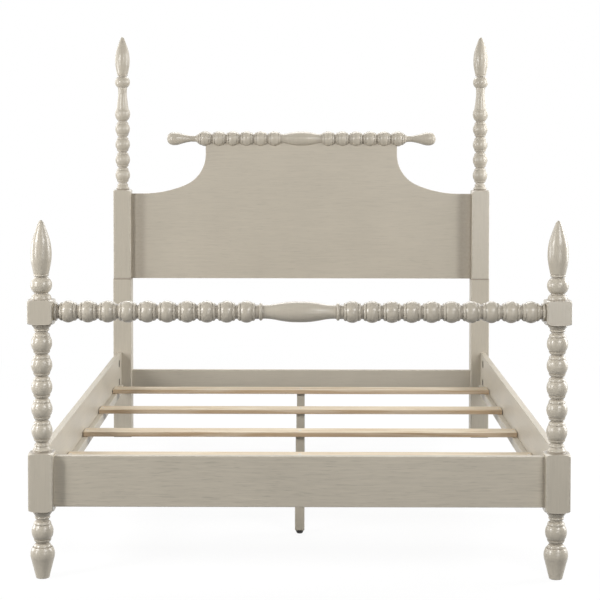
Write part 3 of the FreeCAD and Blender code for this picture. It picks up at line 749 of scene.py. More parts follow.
@dataclass(frozen=True)
class Section:
    """One turned length: runs of (radius, height, mark) points, rows by angles, and its height.

    A round run has one column for all angles, a square run one column for each. A mark over nought is wear
    on an edge, and one under nought darkens the colour to a dark line at a seam.
    """

    runs: tuple[np.ndarray, ...]
    height: float

    @classmethod
    def round(cls, runs: Sequence[np.ndarray], height: float) -> "Section":
        """Section that is round everywhere, from runs of (radius, height) points."""
        return cls(tuple(np.pad(run, ((0, 0), (0, 1)))[:, None, :] for run in runs), height)

    def turned_over(self) -> "Section":
        """The same section with its upper end down."""
        flip, rise = np.array((1.0, -1.0, 1.0)), np.array((0.0, self.height, 0.0))
        return Section(tuple(run[::-1] * flip + rise for run in reversed(self.runs)), self.height)


def stacked(sections: Sequence[Section], columns: int) -> np.ndarray:
    """Profile of all the sections, each on top of the one before.

    Args:
        sections: the sections, lowest first.
        columns: how many angles there are.

    Returns:
        Points as (rows, columns, 3): radius, height and mark, with no row twice.
    """
    starts = np.concatenate(((0.0,), np.cumsum([section.height for section in sections])))
    rows = np.concatenate([np.broadcast_to(run + (0.0, start, 0.0), (len(run), columns, 3))
                           for section, start in zip(sections, starts) for run in section.runs])
    moved = np.abs(np.diff(rows[:, :, :2], axis=0)).max(axis=(1, 2)) > SAME
    return rows[np.concatenate(((True,), moved))]


def vase(length: float, radius: float) -> Section:
    """Long vase at the middle of a rail, the same towards both ends.

    Args:
        length: its length.
        radius: its largest radius.

    Returns:
        The section.
    """
    rise = scaled(((0.66, 0.0), (0.675, 0.06), (0.74, 0.14), (0.84, 0.22), (0.925, 0.3), (0.985, 0.39),
                   (1.0, 0.5)), radius, length)
    fall = [(r, length - z) for r, z in reversed(rise[:-1])]
    return Section.round((curve(rise + fall, 5),), length)


def mirrored_rail(arm: Sequence[Section], middle: Section) -> list[Section]:
    """Sections of a whole rail from one arm, listed from the middle outwards, and the middle section."""
    return [section.turned_over() for section in reversed(arm)] + [middle] + list(arm)


# Meshes


def mesh_piece(name: str, points: np.ndarray, faces: Sequence[np.ndarray],
               marks: dict[str, np.ndarray] | None = None) -> Object:
    """Object at the origin from arrays of points and faces.

    Args:
        name: the piece's name.
        points: points as (n, 3).
        faces: arrays of corner numbers, one array for each number of corners.
        marks: point attributes by name.

    Returns:
        The object, linked to the scene.
    """
    mesh = bpy.data.meshes.new(name)
    mesh.from_pydata(points.tolist(), [], [corners for group in faces for corners in group.tolist()])
    mesh.shade_smooth()
    mesh.set_sharp_from_angle(angle=CREASE)
    for label, values in (marks or {}).items():
        data = mesh.attributes.new(label, "FLOAT", "POINT").data
        data.foreach_set("value", np.ascontiguousarray(values, np.float32))
    mesh.validate()
    piece = bpy.data.objects.new(name, mesh)
    bpy.context.scene.collection.objects.link(piece)
    return piece


def closed_faces(rows: int, columns: int, upward: bool = True) -> tuple[np.ndarray, np.ndarray]:
    """Faces, all outwards, of a grid that closes round its columns and ends in two poles.

    Args:
        rows: rows of the grid; the points of the poles follow the grid's, that of the first row first.
        columns: points in each row.
        upward: whether the rows go up the axis or down it.

    Returns:
        Quads of the grid and triangles of its ends.
    """
    here = np.arange(rows * columns).reshape(rows, columns)
    after = np.roll(here, -1, axis=1)
    quads = np.stack((here[:-1], after[:-1], after[1:], here[1:]), axis=-1).reshape(-1, 4)
    pole = np.full(columns, rows * columns)
    fans = np.concatenate((np.stack((after[0], here[0], pole), axis=-1),
                           np.stack((here[-1], after[-1], pole + 1), axis=-1)))
    return (quads, fans) if upward else (quads[:, ::-1], fans[:, [1, 0, 2]])


@dataclass(frozen=True)
class Lathe:
    """Turns profiles into pieces: square stock between centres, cut down to round where a section is."""

    square: float = 0.075
    ease: float = 0.004
    face_steps: int = 8
    corner_steps: int = 5
    pommel_foot: float = 0.034
    pommel_length: float = 0.014
    pommel_swell: float = 0.0025
    pommel_rows: int = 10
    arc_points: int = 200
    edge_insets: Place = (0.0, 0.0025, 0.006)
    corner_wear: float = 0.8
    corner_past_face: float = 0.0125
    corner_reach: float = 0.0035
    groove_scales: tuple[Point, ...] = ((0.006, 0.006), (0.0018, 0.0012))
    crown_wear: float = 0.6
    round_within: float = 0.0002

    def angles(self) -> np.ndarray:
        """Angles round the axis, closer together at the four eased corners.

        Returns:
            The angles, four times a quarter turn.
        """
        half = self.square / 2.0
        flat = math.atan2(half - self.ease, half)
        eighth = np.concatenate((np.linspace(0.0, flat, self.face_steps + 1)[:-1],
                                 np.linspace(flat, math.pi / 4.0, self.corner_steps)))
        quarter = np.concatenate((eighth, (math.pi / 2.0 - eighth)[::-1][1:-1]))
        return np.concatenate([quarter + math.pi / 2.0 * turn for turn in range(4)])

    def reach(self) -> np.ndarray:
        """Distance from the axis to the square's outline at each angle.

        On a face it is half the side over the cosine of the angle from the face's middle; on an eased corner
        it is the farther crossing of the ray with the corner's circle.

        Returns:
            The distances.
        """
        half, inner = self.square / 2.0, self.square / 2.0 - self.ease
        turn = np.abs((self.angles() + math.pi / 4.0) % (math.pi / 2.0) - math.pi / 4.0)
        both = inner * (np.cos(turn) + np.sin(turn))
        corner = both + np.sqrt(np.maximum(both ** 2 - 2.0 * inner ** 2 + self.ease ** 2, 0.0))
        return np.where(np.tan(turn) <= inner / half, half / np.cos(turn), corner)

    def block(self, height: float, pommel_below: bool) -> Section:
        """Length of square stock with a rounded pommel at its turned ends.

        The pommel is an arc that swells past the square's corners. At each angle it is followed up to the
        point where it leaves the square, and from there the face goes straight up, so the scalloped line
        between them lies on one row.

        Args:
            height: length of the block.
            pommel_below: False where the block starts square, at a seam.

        Returns:
            The section, with wear on its edges and a dark line at a seam.
        """
        foot, length, eighth = self.pommel_foot, self.pommel_length, math.pi / 4.0
        corner = math.hypot(self.square, self.square) / 2.0 + self.pommel_swell
        middle = (foot + (corner - foot) * math.sin(eighth), length * (1.0 - math.cos(eighth)))
        full = arc((foot, 0.0), middle, (corner, length), self.arc_points)
        reach = self.reach()
        steps = np.linspace(0.0, 1.0, len(full))
        share = np.interp(reach, full[:, 0], steps) * np.linspace(0.0, 1.0, self.pommel_rows)[:, None]
        rise = np.interp(share, steps, full[:, 1])
        pommel = np.stack((np.interp(share, steps, full[:, 0]), rise, np.zeros_like(rise)), axis=-1)
        pommel[-1, :, 2] = 1.0
        turned = Section((pommel,), height).turned_over().runs[0]
        start = rise[-1] if pommel_below else np.zeros_like(reach)
        inset = np.array(self.edge_insets)[:, None]
        rows = np.concatenate((start + inset, height - rise[-1] - inset[::-1]))
        near = np.exp(-((reach - self.square / 2.0 - self.corner_past_face) / self.corner_reach) ** 2)
        mark = np.broadcast_to(near * self.corner_wear, rows.shape).copy()
        mark[[0, -1]] = 1.0
        # At a seam the first rows darken to a dark line.
        if not pommel_below:
            mark[:2] = -1.0
        face = np.stack((np.broadcast_to(reach, rows.shape), rows, mark), axis=-1)
        below = pommel if pommel_below else np.zeros((1, len(reach), 3))
        return Section((below, face, turned), height)

    def turn(self, name: str, sections: Sequence[Section], frame: Matrix) -> Object:
        """Piece of revolution: at height z and angle t it has the point (r cos t, r sin t, z).

        Glaze and wear are kept as attributes of its points, with a third one that is one where the row is a
        circle.

        Args:
            name: the piece's name.
            sections: the sections, lowest first.
            frame: where the axis goes.

        Returns:
            The piece.
        """
        angles = self.angles()
        profile = stacked(sections, len(angles))
        kept = slice(1, -1 if profile[-1, 0, 0] < SAME else None)
        groove, wear = (mark[kept] for mark in self.hollows(profile))
        radius, height = profile[kept, :, 0], profile[kept, :, 1]
        grid = np.stack((radius * np.cos(angles), radius * np.sin(angles), height), axis=-1).reshape(-1, 3)
        poles = np.array([(0.0, 0.0, profile[end, 0, 1]) for end in (0, -1)])
        points = np.concatenate((grid, poles)) @ np.array(frame.to_3x3()).T + np.array(frame.translation)
        circle = np.repeat(np.ptp(radius, axis=1) < self.round_within, len(angles))
        marks = {"groove": np.append(groove, (0.0, 0.0)), "wear": np.append(wear, (0.0, 0.0)),
                 "circle": np.append(circle, (1.0, 1.0))}
        return mesh_piece(name, points, closed_faces(*radius.shape), marks)

    def hollows(self, profile: np.ndarray) -> tuple[np.ndarray, np.ndarray]:
        """Grooves and crowns of a profile, wide ones and fine lines together.

        The glaze in a groove is how far the radius lies under its mean over nearby heights, and the wear of
        a crown how far it lies over it, both on the middle of a face; the sections' own marks are added.

        Args:
            profile: points as (rows, columns, 3).

        Returns:
            Groove and wear, each as (rows, columns) from nought to one.
        """
        radius, height = profile[:, 0, 0], profile[:, 0, 1]
        length = np.hypot(np.gradient(radius), np.gradient(height))
        groove, wear = np.zeros_like(radius), np.zeros_like(radius)
        for reach, depth in self.groove_scales:
            weight = np.exp(-((height[:, None] - height) / reach) ** 2) * length
            off = ((weight @ radius) / weight.sum(axis=1) - radius) / depth
            groove = np.maximum(groove, np.clip(off, 0.0, 1.0))
            wear = np.maximum(wear, np.clip(-off, 0.0, 1.0) * self.crown_wear)
        mark = profile[..., 2]
        return np.maximum(groove[:, None], -mark), np.maximum(wear[:, None], mark)


@dataclass(frozen=True)
class Bobbin:
    """Ball with a small rounded cap and a fillet step at each end, between two grooves.

    Neck, lip, cap and shoulder are shares of the radius, groove and rim shares of the length; swell and
    middle place the cap's middle point between lip and cap and between groove and rim.
    """

    radius: float = 0.0317
    neck: float = 0.585
    lip: float = 0.66
    cap: float = 0.80
    shoulder: float = 0.75
    groove: float = 0.035
    rim: float = 0.163
    swell: float = 0.72
    middle: float = 0.42

    def section(self, pitch: float) -> Section:
        """Groove, cap, ball, cap and groove.

        Args:
            pitch: length of the bobbin.

        Returns:
            The section.
        """
        neck, lip, cap, shoulder = (self.radius * share
                                    for share in (self.neck, self.lip, self.cap, self.shoulder))
        groove, rim = pitch * self.groove, pitch * self.rim
        swell = (lip + (cap - lip) * self.swell, groove + (rim - groove) * self.middle)
        lower = Section.round((line((neck, 0.0), (neck, groove)), arc((lip, groove), swell, (cap, rim), 9)),
                              pitch)
        ball = arc((shoulder, rim), (self.radius, pitch / 2.0), (shoulder, pitch - rim), 17)
        return Section(lower.runs + Section.round((ball,), pitch).runs + lower.turned_over().runs, pitch)

    def row(self, count: int, pitch: float) -> list[Section]:
        """Several bobbins, one after another."""
        return [self.section(pitch)] * count


RAIL_BOBBIN = Bobbin(radius=0.033, neck=0.66, lip=0.74, cap=0.84, shoulder=0.79, groove=0.07, rim=0.195)


@dataclass(frozen=True)
class Turnings:
    """The turned sections that the posts share."""

    neck: float = 0.019
    collar_radius: float = 0.033
    cup_height: float = 0.018
    ball_radius: float = 0.0324
    ball_height: float = 0.049
    finial_radius: float = 0.0315
    finial_height: float = 0.172
    bottle_radius: float = 0.0328
    bottle_height: float = 0.145
    bobbin: Bobbin = Bobbin()
    bobbin_pitch: float = 0.0665

    def collar(self, height: float) -> Section:
        """Narrow ring, cone and bead that lead from a square block to the first groove above it.

        Args:
            height: length of the collar.

        Returns:
            The section.
        """
        p = scaled(((1.0, 0.0), (0.85, 0.03), (0.815, 0.09), (0.868, 0.2), (0.82, 0.31), (0.73, 0.45),
                    (0.655, 0.61), (0.68, 0.61), (0.705, 0.72), (0.65, 0.83), (0.6, 0.83), (0.585, 0.88),
                    (0.576, 0.94)), self.collar_radius, height)
        return Section.round((arc(*p[0:3], 7), arc(*p[2:5], 9), arc(*p[4:7], 7), arc(*p[7:10], 9),
                              arc(*p[10:13], 5), line(p[12], (self.neck, height))), height)

    def cup(self) -> Section:
        """Short flared cup between the high block and the ball under the finial."""
        p = scaled(((1.0, 0.0), (0.935, 0.04), (0.92, 0.12), (0.87, 0.5), (0.74, 0.84), (0.64, 0.88),
                    (0.64, 1.0)), self.collar_radius, self.cup_height)
        return Section.round((arc(*p[0:3], 5), arc(*p[2:5], 9), line(*p[4:7])), self.cup_height)

    def top_ball(self) -> Section:
        """Ball under the finial, with a plain groove at each end."""
        p = scaled(((0.63, 0.0), (0.63, 0.05), (0.68, 0.05), (1.0, 0.5), (0.68, 0.95), (0.63, 0.95),
                    (0.63, 1.0)), self.ball_radius, self.ball_height)
        return Section.round((line(*p[0:2]), arc(*p[2:5], 24), line(*p[5:7])), self.ball_height)

    def finial(self) -> Section:
        """Torpedo on a small ring."""
        p = scaled(((0.54, 0.0), (0.54, 0.017), (0.69, 0.017), (0.735, 0.0345), (0.69, 0.052), (0.755, 0.07),
                    (0.854, 0.163), (0.965, 0.279), (1.0, 0.395), (0.968, 0.512), (0.863, 0.628),
                    (0.673, 0.744), (0.451, 0.86), (0.305, 0.93), (0.14, 0.983), (0.0, 1.0)),
                   self.finial_radius, self.finial_height)
        return Section.round((line(*p[0:2]), arc(*p[2:5], 7), line(*p[4:6]), curve(p[5:])),
                             self.finial_height)

    def bottle(self) -> Section:
        """Round-bellied vase with a long slender stem."""
        p = scaled(((0.58, 0.0), (0.58, 0.014), (0.63, 0.018), (1.0, 0.207), (0.85, 0.355), (0.815, 0.355),
                    (0.72, 0.5), (0.645, 0.64), (0.575, 0.78), (0.575, 0.93), (0.61, 0.985), (0.61, 1.0)),
                   self.bottle_radius, self.bottle_height)
        return Section.round((line(*p[0:2]), arc(*p[2:5], 20), curve(p[5:9]), line(*p[8:12])),
                             self.bottle_height)


# Sub-assemblies


@dataclass
class Workshop:
    """What every sub-assembly needs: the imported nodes, the shared shader groups, the paint and the steel."""

    nodes: dict[str, Object]
    effects: Effects
    paint: Paint = Paint()
    steel: Material = field(init=False)
    pocket_shade_steel: Material = field(init=False)

    def __post_init__(self) -> None:
        """Makes both steels."""
        self.steel = ZincSteel().on(self.finish("zinc_steel"))
        # The near-black steel is painted shade in the rails' bolt pockets.
        self.pocket_shade_steel = ZincSteel(Plating.BLACK).on(self.finish("zinc_steel_pocket_shade"))

    def finish(self, name: str) -> Finish:
        """Starts a material."""
        return Finish(name, self.effects)

    def new_piece(self, piece: Object, material: Material, node: str, body: str = BODY) -> None:
        """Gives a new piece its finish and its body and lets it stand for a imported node.

        Args:
            piece: the new piece.
            material: its finish.
            node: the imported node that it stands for.
            body: the body that it rides on.
        """
        piece.data.materials.append(material)
        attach(piece, body)
        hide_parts(node)
        LOG.info("piece %s: %d faces, stands for %s", piece.name, len(piece.data.polygons), node)

    def dress(self, node: str, material: Material) -> None:
        """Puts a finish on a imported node."""
        for slot in self.nodes[node].material_slots:
            slot.material = material
        LOG.info("node %s: %s", node, material.name)

    def paint_board(self, node: str, grain: Grain, look: BoardLook = BoardLook()) -> None:
        """Paints an imported board."""
        self.dress(node, self.paint.on_board(self.finish("paint_" + node), node, grain, look))


class SubAssembly:
    """Part of the bed: build makes its new pieces and dress finishes its imported ones."""

    def build(self, shop: Workshop) -> None:
        """Makes the new pieces; a sub-assembly without any leaves this out."""

    def dress(self, shop: Workshop) -> None:
        """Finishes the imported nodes."""
        raise NotImplementedError


@dataclass
class TurnedEnd(SubAssembly):
    """An end of the bed: two turned posts and a turned rail along X."""

    post: str = ""
    post_start: float = 0.0
    rail: str = ""
    rail_height: float = 0.0
    y: float = 0.0
    vase_radius: float = 0.0
    vase_length: float = 0.0
    bobbin_count: int = 0
    rail_bobbin: Bobbin = RAIL_BOBBIN
    rail_bobbin_count: int = 0
    shapes: Turnings = Turnings()
    lathe: Lathe = Lathe()

    def post_sections(self) -> list[Section]:
        """Sections of a post from its start to the finial's tip."""
        raise NotImplementedError

    def rail_arm(self) -> list[Section]:
        """Sections of the rail's right half, from the middle vase outwards."""
        raise NotImplementedError

    def build(self, shop: Workshop) -> None:
        """Turns and paints both posts and the rail, which lies with its middle over the origin.

        Args:
            shop: the shared groups and the paint.
        """
        posts = shop.paint.on_turning(shop.finish("paint_%ss" % self.post), Grain.ALONG_Z)
        for side in Side:
            frame = Matrix.Translation((side.value * POST_X, self.y, self.post_start))
            piece = self.lathe.turn("turned_" + side.of(self.post), self.post_sections(), frame)
            shop.new_piece(piece, posts, side.of(self.post))
        sections = mirrored_rail(self.rail_arm(), vase(self.vase_length, self.vase_radius))
        start = (-sum(section.height for section in sections) / 2.0, self.y, self.rail_height)
        along_x = Matrix(((0.0, 0.0, 1.0), (1.0, 0.0, 0.0), (0.0, 1.0, 0.0))).to_4x4()
        piece = self.lathe.turn("turned_" + self.rail, sections, Matrix.Translation(start) @ along_x)
        paint = shop.paint.on_turning(shop.finish("paint_" + self.rail), Grain.ALONG_X)
        shop.new_piece(piece, paint, self.rail)


@dataclass
class FootEnd(TurnedEnd):
    """Two foot posts, the turned rail between their high blocks and the board between their low ones."""

    post: str = "foot_post"
    rail: str = "foot_rail"
    rail_height: float = 0.808
    y: float = FOOT_Y
    vase_radius: float = 0.0314
    vase_length: float = 0.213
    bobbin_count: int = 5
    rail_bobbin_count: int = 10
    foot_radius: float = 0.0368
    foot_height: float = 0.1075
    low_ball: Bobbin = Bobbin(radius=0.033)
    low_ball_height: float = 0.068
    low_collar_height: float = 0.031
    low_block_height: float = 0.177
    mid_collar_height: float = 0.0295
    high_collar_height: float = 0.0255
    high_block_height: float = 0.074
    ring_length: float = 0.0225
    rail_end_length: float = 0.0135
    tenon_radius: float = 0.014
    tenon_length: float = 0.028
    board_look: BoardLook = BoardLook(depth=0.15)

    def turnip_foot(self) -> Section:
        """Turnip foot: a pad, a swelling side, a round belly and a cap."""
        p = scaled(((0.0, 0.0), (0.49, 0.0), (0.545, 0.008), (0.56, 0.03), (0.955, 0.56), (1.0, 0.69),
                    (0.83, 0.875), (0.735, 0.875), (0.69, 0.93), (0.6, 0.97), (0.545, 0.97), (0.545, 1.0)),
                   self.foot_radius, self.foot_height)
        return Section.round((line(*p[0:2]), arc(*p[1:4], 6), line(*p[3:5]), arc(*p[4:7], 16),
                              arc(*p[7:10], 7), line(*p[10:12])), self.foot_height)

    def post_sections(self) -> list[Section]:
        """Sections of a foot post from the floor to the finial's tip."""
        shapes, block = self.shapes, self.lathe.block
        return [self.turnip_foot(), self.low_ball.section(self.low_ball_height),
                shapes.collar(self.low_collar_height).turned_over(), block(self.low_block_height, True),
                shapes.collar(self.mid_collar_height),
                *shapes.bobbin.row(self.bobbin_count, shapes.bobbin_pitch),
                shapes.collar(self.high_collar_height).turned_over(), block(self.high_block_height, True),
                shapes.cup(), shapes.top_ball(), shapes.finial()]

    def rail_arm(self) -> list[Section]:
        """Half of the foot rail: a ring beside the vase, the bobbins, and a cap with its tenon.

        Returns:
            The sections from the middle outwards.
        """
        bobbin, length = self.rail_bobbin, self.rail_end_length
        neck = bobbin.radius * bobbin.neck
        ring = scaled(((0.66, 0.0), (0.7, 0.2), (0.845, 0.42), (0.74, 0.62)),
                      self.vase_radius, self.ring_length)
        ring_groove = line((neck, ring[3][1]), (neck, self.ring_length))
        vase_ring = Section.round((line(*ring[0:2]), arc(*ring[1:4], 9), ring_groove), self.ring_length)
        cap = scaled(((0.82, 0.3), (0.86, 0.62), (0.8, 1.0)), bobbin.radius, length)
        tip = length + self.tenon_length
        tenon = line((self.tenon_radius, length), (self.tenon_radius, tip), (0.0, tip))
        end = Section.round((line((neck, 0.0), (neck, cap[0][1])), arc(*cap, 8), tenon), tip)
        room = POST_INNER_X - length - self.vase_length / 2.0 - self.ring_length
        return [vase_ring, *bobbin.row(self.rail_bobbin_count, room / self.rail_bobbin_count), end]

    def dress(self, shop: Workshop) -> None:
        """Paints the foot board."""
        shop.paint_board("foot_board", Grain.ALONG_X, self.board_look)


@dataclass
class Headboard(TurnedEnd):
    """Two posts on square legs, a panel with scooped shoulders, a turned crest rail and a low stretcher."""

    post: str = "headboard_post"
    post_start: float = 0.691
    rail: str = "crest_rail"
    rail_height: float = 1.2975
    y: float = HEAD_Y
    vase_radius: float = 0.0313
    vase_length: float = 0.173
    bobbin_count: int = 4
    rail_bobbin_count: int = 6
    rail_pitch: float = 0.0602
    square_height: float = 0.384
    collar_height: float = 0.031
    handle_length: float = 0.135
    handle_radius: float = 0.0288
    # The panel's darker share beside each post is painted shadow of the posts.
    panel_look: BoardLook = BoardLook(depth=0.085, glaze=0.50, glaze_and_shade_full=0.050, glaze_and_shade_gone=0.085)
    # The legs darken to a dark line at both ends, at the seam under the post and at the floor.
    leg_look: BoardLook = BoardLook(glaze=1.0, glaze_and_shade_full=0.0026, glaze_and_shade_gone=0.0042)

    def post_sections(self) -> list[Section]:
        """Sections of a headboard post from the seam above its leg to the finial's tip."""
        shapes = self.shapes
        return [self.lathe.block(self.square_height, False), shapes.collar(self.collar_height),
                *shapes.bobbin.row(self.bobbin_count, shapes.bobbin_pitch),
                shapes.bottle(), shapes.top_ball(), shapes.finial()]

    def rail_arm(self) -> list[Section]:
        """Half of the crest rail: the bobbins and a club-shaped handle.

        Returns:
            The sections from the middle outwards.
        """
        cove = ((0.74, 0.0), (0.52, 0.055), (0.462, 0.145), (0.458, 0.235))
        club = (cove[-1], (0.604, 0.393), (0.774, 0.526), (0.944, 0.652), (1.0, 0.763), (0.955, 0.844),
                (0.78, 0.926), (0.45, 0.981), (0.0, 1.0))
        runs = [curve(scaled(part, self.handle_radius, self.handle_length)) for part in (cove, club)]
        return [*self.rail_bobbin.row(self.rail_bobbin_count, self.rail_pitch),
                Section.round(runs, self.handle_length)]

    def dress(self, shop: Workshop) -> None:
        """Paints the panel, the stretcher and the legs and finishes the dowels.

        Args:
            shop: the nodes, the shared groups and the paint.
        """
        shop.paint_board("headboard_panel", Grain.ALONG_X, self.panel_look)
        shop.paint_board("headboard_stretcher", Grain.ALONG_X)
        for side in Side:
            shop.paint_board(side.of("headboard_leg"), Grain.ALONG_Z, self.leg_look)
        shop.dress("leg_dowels", Beech().on(shop.finish("beech_dowels")))


@dataclass
class SideFrames(SubAssembly):
    """Side rails with their slat ledgers, and the bolts that draw them to the posts."""

    hardware: tuple[str, ...] = ("rail_bolts", "rail_nuts", "rail_washers")
    # The rails' bolt pockets get painted shade on their walls.
    rail_look: BoardLook = BoardLook(holed=True)

    def dress(self, shop: Workshop) -> None:
        """Paints rails and ledgers and gives the bolts, nuts and washers a near-black steel, painted shade of
        the rails' bolt pockets.

        Args:
            shop: the nodes, the paint and the steel.
        """
        for side in Side:
            shop.paint_board(side.of("side_rail"), Grain.ALONG_Y, self.rail_look)
            shop.paint_board(side.of("slat_ledger"), Grain.ALONG_Y)
        for node in self.hardware:
            shop.dress(node, shop.pocket_shade_steel)


@dataclass(frozen=True)
class Screw:
    """Countersunk cross-head screw; the sizes of its recess are shares of the head's radius."""

    head: float = 0.0045
    shank: float = 0.0021
    length: float = 0.040
    head_edge: float = 0.0003
    head_depth: float = 0.0032
    tip_length: float = 0.005
    recess_depth: float = 0.42
    arm_width: float = 0.13
    arm_fade: float = 0.02
    arm_reach: float = 0.56
    reach_fade: float = 0.03
    first_ring: float = 0.08
    head_rings: int = 14
    columns: int = 48

    def set_out(self, name: str, places: np.ndarray, turns: np.ndarray) -> Object:
        """Several of the screw in one mesh.

        Polar grid on the screw's axis: the radius goes out over the flat head, in along the cone and down
        the shank. The cross recess lowers the head by a depth that fades over its rims, where the smaller of
        |x| and |y| passes the arms' half width and the larger one their reach.

        Args:
            name: the piece's name.
            places: middle of each head as (n, 3).
            turns: for each screw the matrix from its axis to the bed's, as (n, 3, 3).

        Returns:
            The piece.
        """
        head, rings = self.head, self.head_rings
        angle = np.arange(self.columns) * math.tau / self.columns
        radius = np.append(np.linspace(self.first_ring, 1.0, rings) * head, (head, self.shank, self.shank))
        depth = np.append(np.zeros(rings), (self.head_edge, self.head_depth, self.length - self.tip_length))
        x, y = radius[:, None] * np.cos(angle), radius[:, None] * np.sin(angle)
        inner, outer = (pick(np.abs(x), np.abs(y)) / head for pick in (np.minimum, np.maximum))
        arm = 1.0 / (1.0 + np.exp((inner - self.arm_width) / self.arm_fade))
        reach = 1.0 / (1.0 + np.exp((outer - self.arm_reach) / self.reach_fade))
        recess = arm * reach * (depth == 0.0)[:, None] * head * self.recess_depth
        grid = np.stack((x, y, -depth[:, None] - recess), axis=-1).reshape(-1, 3)
        one = np.concatenate((grid, ((0.0, 0.0, -head * self.recess_depth), (0.0, 0.0, -self.length))))
        points = np.einsum("nij,pj->npi", turns, one) + places[:, None, :]
        starts = (np.arange(len(places)) * len(one))[:, None, None]
        quads, fans = closed_faces(len(radius), self.columns, False)
        return mesh_piece(name, points.reshape(-1, 3),
                          ((quads + starts).reshape(-1, 4), (fans + starts).reshape(-1, 3)))


@dataclass
class SlatDeck(SubAssembly):
    """Four pine slats on their ledgers, each with a support leg under its middle, and all the screws."""

    slat_screw: Screw = Screw()
    slat_screw_x: float = 0.766
    leg_screw: Screw = Screw(head=0.0062, shank=0.003, length=0.080)
    ledger_screw: Screw = Screw(length=0.036)
    ledger_face_x: float = 0.759
    ledger_screw_z: float = 0.233
    ledger_screw_first: float = -0.85225
    ledger_screw_last: float = 0.84925
    ledger_screw_count: int = 6

    def build(self, shop: Workshop) -> None:
        """Makes the slat, leg and ledger screws, a column for each turn of a set, the left one first.

        Args:
            shop: the steel.
        """
        run = np.linspace(self.ledger_screw_first, self.ledger_screw_last, self.ledger_screw_count)
        upright = np.eye(3)
        inward = [((0.0, 0.0, -side.value), (0.0, 1.0, 0.0), (side.value, 0.0, 0.0)) for side in Side]
        sets = (("slat_screws", self.slat_screw, self.slat_screw_x, SLAT_YS, SLAT_TOP, (upright, upright)),
                ("leg_screws", self.leg_screw, 0.0, SLAT_YS, SLAT_TOP, (upright,)),
                ("ledger_screws", self.ledger_screw, self.ledger_face_x, run, self.ledger_screw_z, inward))
        for node, screw, x, ys, z, turns in sets:
            places = np.array([(side.value * x, y, z) for side, _ in zip(Side, turns) for y in ys])
            piece = screw.set_out("cross_head_" + node, places, np.repeat(turns, len(ys), axis=0))
            shop.new_piece(piece, shop.steel, node)

    def dress(self, shop: Workshop) -> None:
        """Finishes slats, support legs and inserts.

        Args:
            shop: the nodes, the shared groups, the paint and the steel.
        """
        for number in range(1, len(SLAT_YS) + 1):
            node = "slat_%d" % number
            shop.dress(node, Pine().on_slat(shop.finish("pine_" + node), node))
            shop.paint_board("support_leg_%d" % number, Grain.ALONG_Z)
        shop.dress("leg_inserts", shop.steel)


@dataclass
class Glides(SubAssembly):
    """Levelling glides: a plastic foot on a threaded steel stud under each support leg."""

    stud_radius: float = 0.0039
    stud_foot: float = 0.003
    stud_length: float = 0.040
    pitch: float = 0.00125
    thread_depth: float = 0.0006
    chamfer: float = 0.0008
    columns: int = 24
    rows: int = 257

    def stud(self, name: str, y: float) -> Object:
        """Threaded stud.

        At height z and angle t the radius is the stud's own less the thread's depth times a triangle wave of
        z over the pitch less t over a full turn; both ends taper to a chamfer.

        Args:
            name: the piece's name.
            y: where it stands along the bed.

        Returns:
            The piece.
        """
        angle = np.arange(self.columns) * math.tau / self.columns
        height = np.linspace(0.0, self.stud_length, self.rows)[:, None]
        wave = np.abs((height / self.pitch - angle / math.tau) % 1.0 * 2.0 - 1.0)
        ends = np.minimum(height, self.stud_length - height)
        radius = self.stud_radius - np.maximum(self.thread_depth * wave, self.chamfer - ends)
        z = np.broadcast_to(height, radius.shape) + self.stud_foot
        grid = np.stack((radius * np.cos(angle), radius * np.sin(angle) + y, z), axis=-1).reshape(-1, 3)
        poles = ((0.0, y, self.stud_foot), (0.0, y, self.stud_foot + self.stud_length))
        return mesh_piece(name, np.concatenate((grid, poles)), closed_faces(self.rows, self.columns))

    def build(self, shop: Workshop) -> None:
        """Makes the studs, each on its glide's body.

        Args:
            shop: the steel.
        """
        for number, y in enumerate(SLAT_YS, 1):
            piece = self.stud("threaded_stud_%d" % number, y)
            node, body = "glide_stud_%d" % number, "glide_body_%d" % number
            shop.new_piece(piece, shop.steel, node, body)

    def dress(self, shop: Workshop) -> None:
        """Puts the plastic on the glides.

        Args:
            shop: the nodes and the shared groups.
        """
        plastic = Plastic().on(shop.finish("glide_plastic"))
        for number in range(1, len(SLAT_YS) + 1):
            shop.dress("glide_%d" % number, plastic)


# Studio


@dataclass(frozen=True)
class Lamp:
    """One soft box: where it hangs, what it faces, its width and height and its power in watts."""

    name: str
    place: Place
    target: Place
    size: tuple[float, float]
    power: float

    def hang(self) -> None:
        """Adds the lamp to the scene."""
        light = bpy.data.lights.new(self.name, "AREA")
        light.shape = "RECTANGLE"
        light.size, light.size_y = self.size
        light.energy = self.power
        lamp = bpy.data.objects.new(self.name, light)
        lamp.location = self.place
        lamp.rotation_euler = (Vector(self.target) - Vector(self.place)).to_track_quat("-Z", "Y").to_euler()
        bpy.context.scene.collection.objects.link(lamp)
        LOG.info("lamp %s: %.0f W", self.name, self.power)


